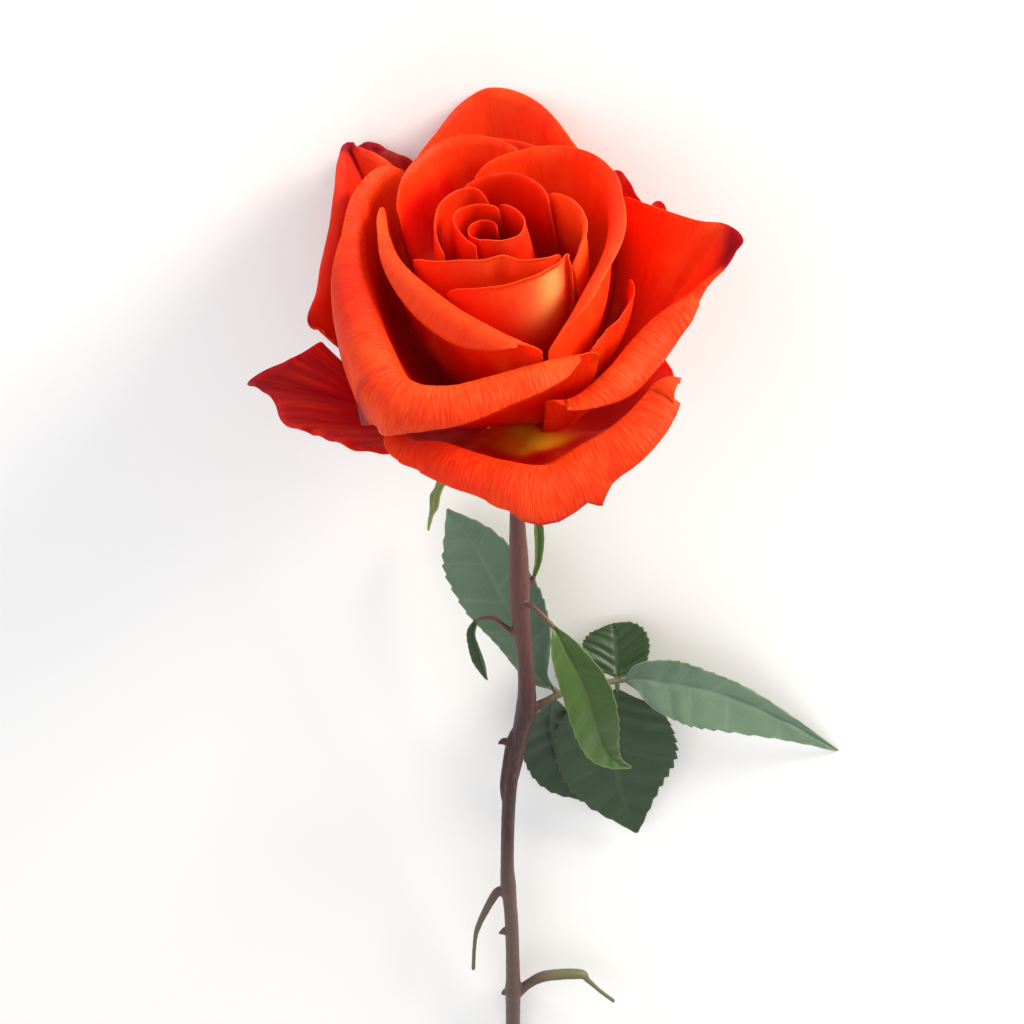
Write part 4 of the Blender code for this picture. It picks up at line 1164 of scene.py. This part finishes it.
class LeafTone(Enum):
    """The leaf finishes that the rose shows."""

    DARK = LeafFinish("rose_leaf_dark", "#223A1E", "#4E654A", "#33502E", "#55683E")
    # A paler grey-green copy of the leaf finish, partly painted sheen.
    GREY_SHEEN = LeafFinish("rose_leaf_grey_sheen", "#56705A", "#728A74", "#6C8570", "#869A80", 0.42)
    YOUNG = LeafFinish("rose_leaf_young", "#33501A", "#5E7A34", "#466426", "#6A803C", 0.42)
    SEPAL = LeafFinish("rose_sepal", "#56661E", "#6E7A3A", "#7F8A48", "#A6A860", 0.55)


LEAF_TONES: dict[str, LeafTone] = {
    "leaf_dark_green": LeafTone.DARK,
    "leaf_grey_green": LeafTone.GREY_SHEEN,
    "leaf_young_green": LeafTone.YOUNG,
    "sepal_green": LeafTone.SEPAL,
}


@dataclass
class Leaf:
    """A folded blade with a saw-toothed margin and feathered veins."""

    blade: Blade
    columns: int = 33
    rows_per_tooth: int = 16
    notch: float = 0.05
    vein_pairs: int = 6
    quilt_mm: float = 0.17
    body_mm: float = 0.34
    margin_mm: float = 0.2
    margin_reach_mm: float = 2.0
    least_half_mm: float = 0.3
    tooth_rise: float = 0.7
    tooth_drift: float = 0.05
    vein_sweep: float = 0.62
    vein_bend: float = 0.02
    vein_stagger: float = 0.42
    vein_wander: float = 0.16
    vein_half_mm: float = 0.28
    rib_half_mm: float = 0.35
    rib_sink_mm: float = 0.25
    curl_mm: float = 0.35

    def line(self) -> np.ndarray:
        """The midrib's points, from just inside the stalk's end.

        Returns:
            Rows of x, y, z and the two half-widths.
        """
        end = np.array(self.blade.stalk[-1][:3])
        first = np.array(self.blade.midrib[0][:3])
        foot = end - unit(first - end) * GAP
        return np.array([(*foot, 0.5, 0.5), *self.blade.midrib])

    def sheet(self) -> Sheet:
        """Makes the blade's grid, with the values its finish reads.

        Returns:
            The sheet, with its front on the leaf's upper side.
        """
        line = self.line()
        rows = self.rows_per_tooth * self.blade.teeth
        share = np.linspace(-1, 1, self.columns)
        share = np.sign(share) * np.abs(share) ** 0.85
        along = np.linspace(0, 1, rows + 1)
        spine = through(line, along)
        step = 0.01
        going = unit(through(line, along + step)[:, :3] - through(line, along - step)[:, :3])
        face = np.array(self.blade.face)
        up = unit(face - going * (going @ face)[:, None])
        side = np.cross(going, up)
        drift = self.tooth_drift * np.sin(along * 23)
        phase = (along * 2 * self.blade.teeth + drift + 0.5) % 1
        rise = self.tooth_rise
        saw = np.where(phase < rise, phase / rise, (1 - phase) / (1 - rise))
        outer = np.abs(share)[:, None]
        half = np.where(share[:, None] > 0, spine[None, :, 4], spine[None, :, 3])
        half = np.maximum(half, self.least_half_mm)
        tooth = 1 - self.notch * (1 - saw)[None, :] * smooth(0.75, 1.0, outer)
        reach = outer * half * tooth
        length = np.linalg.norm(np.diff(spine[:, :3], axis=0), axis=1).sum()
        place = along[None, :] * length - self.vein_sweep * reach + self.vein_bend * reach**2
        pitch = length / (self.vein_pairs + 0.5)
        place = place + np.where(share > 0, 0.0, self.vein_stagger * pitch)[:, None]
        place = place + self.vein_wander * pitch * np.sin(place / pitch * 2.1 + 1.0)
        wave = np.cos(2 * math.pi * place / pitch)
        off = np.abs((place / pitch + 0.5) % 1 - 0.5) * pitch
        keep = smooth(0.0, 0.25, outer) * smooth(1.0, 0.8, outer)
        keep = keep * smooth(1.0, 0.85, along)[None, :]
        vein = np.exp(-(off / self.vein_half_mm) ** 2) * smooth(1.0, 0.85, outer) * 0.7
        rib = np.exp(-(reach / self.rib_half_mm) ** 2)
        lift = self.blade.fold * reach - self.quilt_mm * wave * keep
        curl = self.curl_mm * np.sin(along[None, :] * 9 + share[:, None] * 1.4)
        lift += curl * outer**3 * smooth(0, 4, half)
        lift -= self.rib_sink_mm * rib
        points = (spine[None, :, :3] + side[None] * (np.sign(share)[:, None] * reach)[..., None]
                  + up[None] * lift[..., None])
        points += going[None] * (0.06 * half * saw[None, :] * smooth(0.8, 1.0, outer))[..., None]
        made = Sheet(points, np.ones_like(reach))
        thin = smooth(0, self.margin_reach_mm, made.edge())
        made.thickness = self.margin_mm + (self.body_mm - self.margin_mm) * thin
        made.under = 0.45 * rib * smooth(0, 3, half) + 0.12 * vein
        made.values = {"vein": np.clip(np.maximum(vein, rib), 0, 1)}
        front = (made.normals() * up[None]).sum(axis=-1).mean()
        return made if front > 0 else made.flipped()


@dataclass
class Foliage:
    """All the leaf blades."""

    blades: tuple[Blade, ...] = BLADES
    flat: tuple[str, ...] = ("leaf_curled", "leaf_bract")
    flat_quilt_mm: float = 0.06

    def build(self) -> None:
        """Builds and dresses the blades."""
        finishes: dict[LeafTone, bpy.types.Material] = {}
        for blade in self.blades:
            tone = LEAF_TONES[blade.slot]
            if tone not in finishes:
                finishes[tone] = tone.value.build()
            leaf = Leaf(blade)
            if blade.name in self.flat:
                leaf.quilt_mm = self.flat_quilt_mm
            mesh = leaf.sheet().mesh(blade.name, flower_frame())
            mesh.materials.append(finishes[tone])
            add_piece(blade.name + "_blade", mesh, blade.slot, blade.name)


@dataclass
class Calyx:
    """The receptacle and the five sepals turned back from it."""

    columns: int = 15
    rows: int = 60
    turns: int = 72
    rib: float = 0.012
    rib_start: float = -2.0
    body_mm: float = 0.7
    margin_mm: float = 0.3
    margin_reach_mm: float = 1.2
    least_half_mm: float = 0.25
    leave: tuple[float, float] = (9.0, -1.0)
    hang: tuple[float, float] = (-2.0, 7.0)
    cup: float = 0.22
    rib_half_mm: float = 0.35

    def sepal(self, sepal: tuple[float, float, float]) -> Sheet:
        """Makes one sepal's grid from its azimuth, tip radius and tip height.

        Args:
            sepal: Its azimuth, tip radius and tip height.

        Returns:
            The sheet, with its front upwards.
        """
        turn, *tip = sepal
        share = np.linspace(-1, 1, self.columns)[:, None]
        along = np.linspace(0, 1, self.rows)[None, :]
        out, up = (bezier([foot, foot + leave, end + hang, end], along)
                   for foot, leave, hang, end in zip(SEPAL_FOOT, self.leave, self.hang, tip))
        widths = np.array(SEPAL_HALF_WIDTHS)[:, None]
        half = np.maximum(through(widths, along[0])[:, 0], self.least_half_mm)[None, :]
        side = polar(np.array(turn + 90.0), np.array(1.0), np.array(0.0))
        points = polar(np.full_like(out, turn), out, up) + share[..., None] * half[..., None] * side
        lift = self.cup * np.abs(share) ** 1.5 * half
        points = points + lift[..., None] * np.array([0, 0, 1.0])
        made = Sheet(points, np.ones(points.shape[:2]))
        thin = smooth(0, self.margin_reach_mm, made.edge())
        made.thickness = self.margin_mm + (self.body_mm - self.margin_mm) * thin
        made.values = {"vein": 0.6 * np.exp(-(share * half / self.rib_half_mm) ** 2) + 0 * out}
        return made if made.normals()[..., 2].mean() > 0 else made.flipped()

    def receptacle(self) -> bpy.types.Mesh:
        """Turns the receptacle's profile about the bloom's axis.

        Returns:
            The closed mesh, with the values that its finish reads.
        """
        dome = [RECEPTACLE_RIM * step / 8 for step in range(1, 9)]
        profile = [(radius, DOME_TOP - DOME_DROP * radius**2) for radius in dome]
        side = through(np.array([profile[-1], *RECEPTACLE_SIDE]), np.linspace(0, 1, 40))[1:]
        profile += [tuple(point) for point in side]
        turn = np.linspace(0, 360, self.turns, endpoint=False)
        ribs = self.rib * (1 + np.cos(np.radians(5 * turn)))
        rings = [polar(turn, radius * (1 - ribs * (height < self.rib_start)), height)
                 for radius, height in profile]
        points = np.concatenate([np.concatenate(rings), [[0, 0, DOME_TOP], [0, 0, profile[-1][1]]]])
        faces: list[tuple[int, ...]] = []
        last = (len(profile) - 1) * self.turns
        for step in range(self.turns):
            after = (step + 1) % self.turns
            faces.append((last + self.turns, step, after))
            faces.append((last + self.turns + 1, last + after, last + step))
            for row in range(0, last, self.turns):
                a, b = row + step, row + after
                faces.append((a, a + self.turns, b + self.turns, b))
        mesh = bpy.data.meshes.new("receptacle")
        mesh.from_pydata(placed(points, bloom_frame()), [], faces)
        mesh.shade_smooth()
        full = np.full(len(points), 9.0)
        give_values(mesh, {"vein": 0 * full, "edge": full, "front": full, "sheet_mm": points})
        return mesh

    def build(self) -> None:
        """Builds and dresses the receptacle and the sepals."""
        finish = LeafTone.SEPAL.value.build()
        mesh = self.receptacle()
        mesh.materials.append(finish)
        add_piece("receptacle_skin", mesh, "sepal_green", "receptacle")
        for number, sepal in enumerate(SEPALS, 1):
            mesh = self.sepal(sepal).mesh(f"sepal_{number}", bloom_frame())
            mesh.materials.append(finish)
            add_piece(f"sepal_{number}_blade", mesh, "sepal_green", f"sepal_{number}")


def tube_tree() -> bpy.types.NodeTree:
    """Geometry Nodes that turn lines with a radius value into closed round tubes.

    Returns:
        The tree, with the number of sides as an input.
    """
    graph = start_shape("stem_tubes", Sides="Int")
    graph.add("thick", "GeometryNodeInputNamedAttribute", "thick", out="Attribute",
              data_type="FLOAT")
    graph.add("line", "GeometryNodeMeshToCurve", "Geometry")
    graph.add("line", "GeometryNodeSetCurveRadius", "line", inputs={"Radius": "thick"})
    graph.add("ring", "GeometryNodeCurvePrimitiveCircle",
              inputs={"Resolution": "Sides", "Radius": 1.0})
    tube = graph.add("shape", "GeometryNodeCurveToMesh", "line", "ring",
                     inputs={"Fill Caps": True})
    if "Scale" in tube.inputs:
        graph.tree.links.new(graph.at["thick"], tube.inputs["Scale"])
    return graph.end_shape()


def bark_tree() -> bpy.types.NodeTree:
    """Geometry Nodes that raise the low bumps of young bark.

    Returns:
        The tree, with the bumps' height and size in metres as inputs.
    """
    graph = start_shape("stem_bark", Height="Float", Size="Float")
    graph.add("size", "ShaderNodeMath", 1.0, "Size", operation="DIVIDE")
    graph.add("place", "GeometryNodeInputPosition")
    graph.add("normal", "GeometryNodeInputNormal")
    graph.add("level", "ShaderNodeTexNoise", out="Fac",
              inputs={"Vector": "place", "Scale": "size", "Detail": 2.0})
    for operation, value in (("SUBTRACT", 0.5), ("MULTIPLY", "Height")):
        graph.add("level", "ShaderNodeMath", "level", value, operation=operation)
    graph.add("offset", "ShaderNodeVectorMath", "normal", inputs={"Scale": "level"},
              operation="SCALE")
    graph.add("shape", "GeometryNodeSetPosition", "Geometry", inputs={"Offset": "offset"})
    return graph.end_shape()


@dataclass(frozen=True)
class StemFinish:
    """Young rose bark: smooth and faintly waxy, purple-brown, greener on the side shoots."""

    name: str = "rose_stem_bark"
    top: str = "#5E3A36"
    middle: str = "#3C2526"
    low: str = "#5C4A42"
    flush: str = "#6E4A46"
    green: str = "#6A7548"
    roughness: float = 0.48
    streak_mm: float = 0.6
    streak_run_mm: float = 9.0
    middle_line_m: float = REST_AT[0] * MM - 0.0008

    def build(self) -> bpy.types.Material:
        """Makes the material.

        Returns:
            The material: streaks along the stem, and colours that change down its length.
        """
        made, graph = start_finish(self.name)
        graph.add("place", "ShaderNodeTexCoord", out="Object")
        apart = graph.add("x", "ShaderNodeSeparateXYZ", "place")
        graph.at["y"] = apart.outputs["Y"]
        graph.add("down", "ShaderNodeMapRange", "y", CAD_BOX[1][1], CAD_BOX[0][1], 0.0, 1.0)
        wide, long = self.streak_mm * MM, self.streak_run_mm * MM
        graph.add("drawn", "ShaderNodeMapping", "place",
                  inputs={"Scale": (1 / wide, 1 / long, 1 / wide)})
        graph.add("streak", "ShaderNodeTexNoise", out="Fac",
                  inputs={"Vector": "drawn", "Scale": 1.0, "Detail": 3.0})
        stops = graph.add("base", "ShaderNodeValToRGB", "down").color_ramp.elements
        stops[0].position, stops[0].color = 0.28, linear(self.top)
        stops[1].position, stops[1].color = 1.0, linear(self.low)
        for place, colour in ((0.42, self.top), (0.50, self.middle), (0.64, self.middle),
                              (0.74, self.low)):
            stops.new(place).color = linear(colour)
        graph.add("out", "ShaderNodeMath", "x", self.middle_line_m, operation="SUBTRACT")
        graph.add("out", "ShaderNodeMath", "out", operation="ABSOLUTE")
        graph.lay(Layer(self.flush, "streak", (0.4, 0.75, 0.4)),
                  Layer(self.green, "out", (0.006, 0.013, 0.55), curve="LINEAR"))
        graph.add("bump", "ShaderNodeBump",
                  inputs={"Height": "streak", "Strength": 0.3, "Distance": 0.0003})
        graph.end_finish(Roughness=self.roughness, IOR=1.45, Specular_IOR_Level=0.4)
        return made


@dataclass
class Stem:
    """The stem, with its stalks, side shoots, thorns and bud scales grown into one skin."""

    lines: tuple[tuple[tuple[float, ...], ...], ...] = (STEM_LINE, *GROWTH_LINES)
    sides: int = 20
    step_mm: float = 0.8
    thinnest_mm: float = 0.2
    voxel_mm: float = 0.27
    bump_mm: float = 0.16
    bump_size_mm: float = 2.2

    def skeleton(self) -> bpy.types.Mesh:
        """Makes the centre lines, with the radius of each point as a value.

        Returns:
            The mesh, of edges alone.
        """
        points: list[np.ndarray] = []
        thick: list[np.ndarray] = []
        edges: list[tuple[int, int]] = []
        count = 0
        for line in (*self.lines, *(blade.stalk for blade in BLADES)):
            array = np.array(line)
            length = np.linalg.norm(np.diff(array[:, :3], axis=0), axis=1).sum()
            steps = max(int(length / self.step_mm), 3)
            spine = through(array, np.linspace(0, 1, steps + 1)) if len(array) > 2 else (
                np.linspace(array[0], array[1], steps + 1))
            points.append(spine[:, :3])
            thick.append(spine[:, 3])
            edges += [(count + n, count + n + 1) for n in range(steps)]
            count += steps + 1
        mesh = bpy.data.meshes.new("stem_lines")
        mesh.from_pydata(placed(np.concatenate(points), flower_frame()), edges, [])
        give_values(mesh, {"thick": np.maximum(np.concatenate(thick), self.thinnest_mm) * MM})
        return mesh

    def build(self) -> None:
        """Builds the tubes, grows them into one skin and gives it its bark."""
        finish = StemFinish().build()
        made = linked("stem_lines", self.skeleton())
        add_tree(made, tube_tree(), {"Sides": self.sides, "Finish": finish})
        skin = made.modifiers.new("Skin", "REMESH")
        skin.mode = "VOXEL"
        skin.voxel_size = self.voxel_mm * MM
        skin.use_smooth_shade = True
        ease = made.modifiers.new("Ease", "SMOOTH")
        ease.factor = 0.5
        ease.iterations = 4
        add_tree(made, bark_tree(), {"Height": self.bump_mm * MM,
                                     "Size": self.bump_size_mm * MM, "Finish": finish})
        add_piece("stem_skin", plain_mesh(made), "stem_bark", "stem")


@dataclass(frozen=True)
class Lamp:
    """A square soft light: where it hangs from the bloom in the photograph's view, in metres."""

    name: str
    toward: float
    right: float
    up: float
    size: float
    power: float
    colour: str


@dataclass
class Studio:
    """The pale floor, the soft lights and the camera."""

    floor: str = "#FEFEFE"
    floor_size: float = 6.0
    daylight: float = 0.78
    bloom_middle_mm: float = 25.0
    sensor_mm: float = 36.0
    lamps: tuple[Lamp, ...] = (
        Lamp("key", 0.45, 0.80, 0.45, 0.40, 15.0, "#FFF2E0"),
        Lamp("fill", 0.9, -0.7, -0.1, 0.9, 2.5, "#F4F8FF"),
    )

    def lay_floor(self) -> None:
        """Lays a plain pale floor of matt paper just under the rose."""
        shape = bmesh.new()
        bmesh.ops.create_grid(shape, x_segments=1, y_segments=1, size=self.floor_size / 2)
        mesh = bpy.data.meshes.new("floor")
        shape.to_mesh(mesh)
        shape.free()
        finish = bpy.data.materials.new("matt_paper")
        finish.use_nodes = True
        shader = finish.node_tree.nodes["Principled BSDF"].inputs
        for key, value in (("Base Color", linear(self.floor)), ("Roughness", 0.9),
                           ("Specular IOR Level", 0.1)):
            shader[key].default_value = value
        mesh.materials.append(finish)
        linked("floor", mesh)

    def build(self) -> None:
        """Sets the floor, the world, the lights and the camera."""
        self.lay_floor()
        world = bpy.data.worlds.new("studio")
        world.use_nodes = True
        back = world.node_tree.nodes["Background"].inputs
        back["Color"].default_value = linear("#FFFFFF")
        back["Strength"].default_value = self.daylight
        bpy.context.scene.world = world
        bpy.context.scene.view_settings.view_transform = "Standard"
        lying = flower_frame()
        spin = lying.to_quaternion()
        turn = math.radians(VIEW_ANGLE)
        toward = Vector((0, -math.sin(turn), math.cos(turn)))
        up = Vector((0, math.cos(turn), math.sin(turn)))
        right = Vector((1, 0, 0))
        bloom = lying @ Vector((0, 0, self.bloom_middle_mm))
        for lamp in self.lamps:
            data = bpy.data.lights.new(lamp.name, "AREA")
            data.size, data.energy = lamp.size, lamp.power
            data.color = linear(lamp.colour)[:3]
            place = bloom + spin @ (toward * lamp.toward + right * lamp.right + up * lamp.up)
            aim = (place - bloom).to_track_quat("Z", "Y")
            linked(lamp.name, data).matrix_world = Matrix.LocRotScale(place, aim, None)
        data = bpy.data.cameras.new("camera")
        data.sensor_width = self.sensor_mm
        data.lens = self.sensor_mm / 2 / math.tan(math.radians(VIEW_FIELD / 2))
        data.clip_start = 0.01
        made = linked("camera", data)
        eye = lying @ (Vector(VIEW_TARGET) + toward * VIEW_DISTANCE)
        tilt = Matrix((right, up, toward)).transposed().to_quaternion()
        made.matrix_world = Matrix.LocRotScale(eye, spin @ tilt, None)
        bpy.context.scene.camera = made


def main() -> None:
    """Builds the studio and the rose."""
    logging.basicConfig(level=logging.INFO, format="%(name)s %(message)s")
    Studio().build()
    Bloom().build()
    Calyx().build()
    Foliage().build()
    Stem().build()


if __name__ == "__main__":
    main()
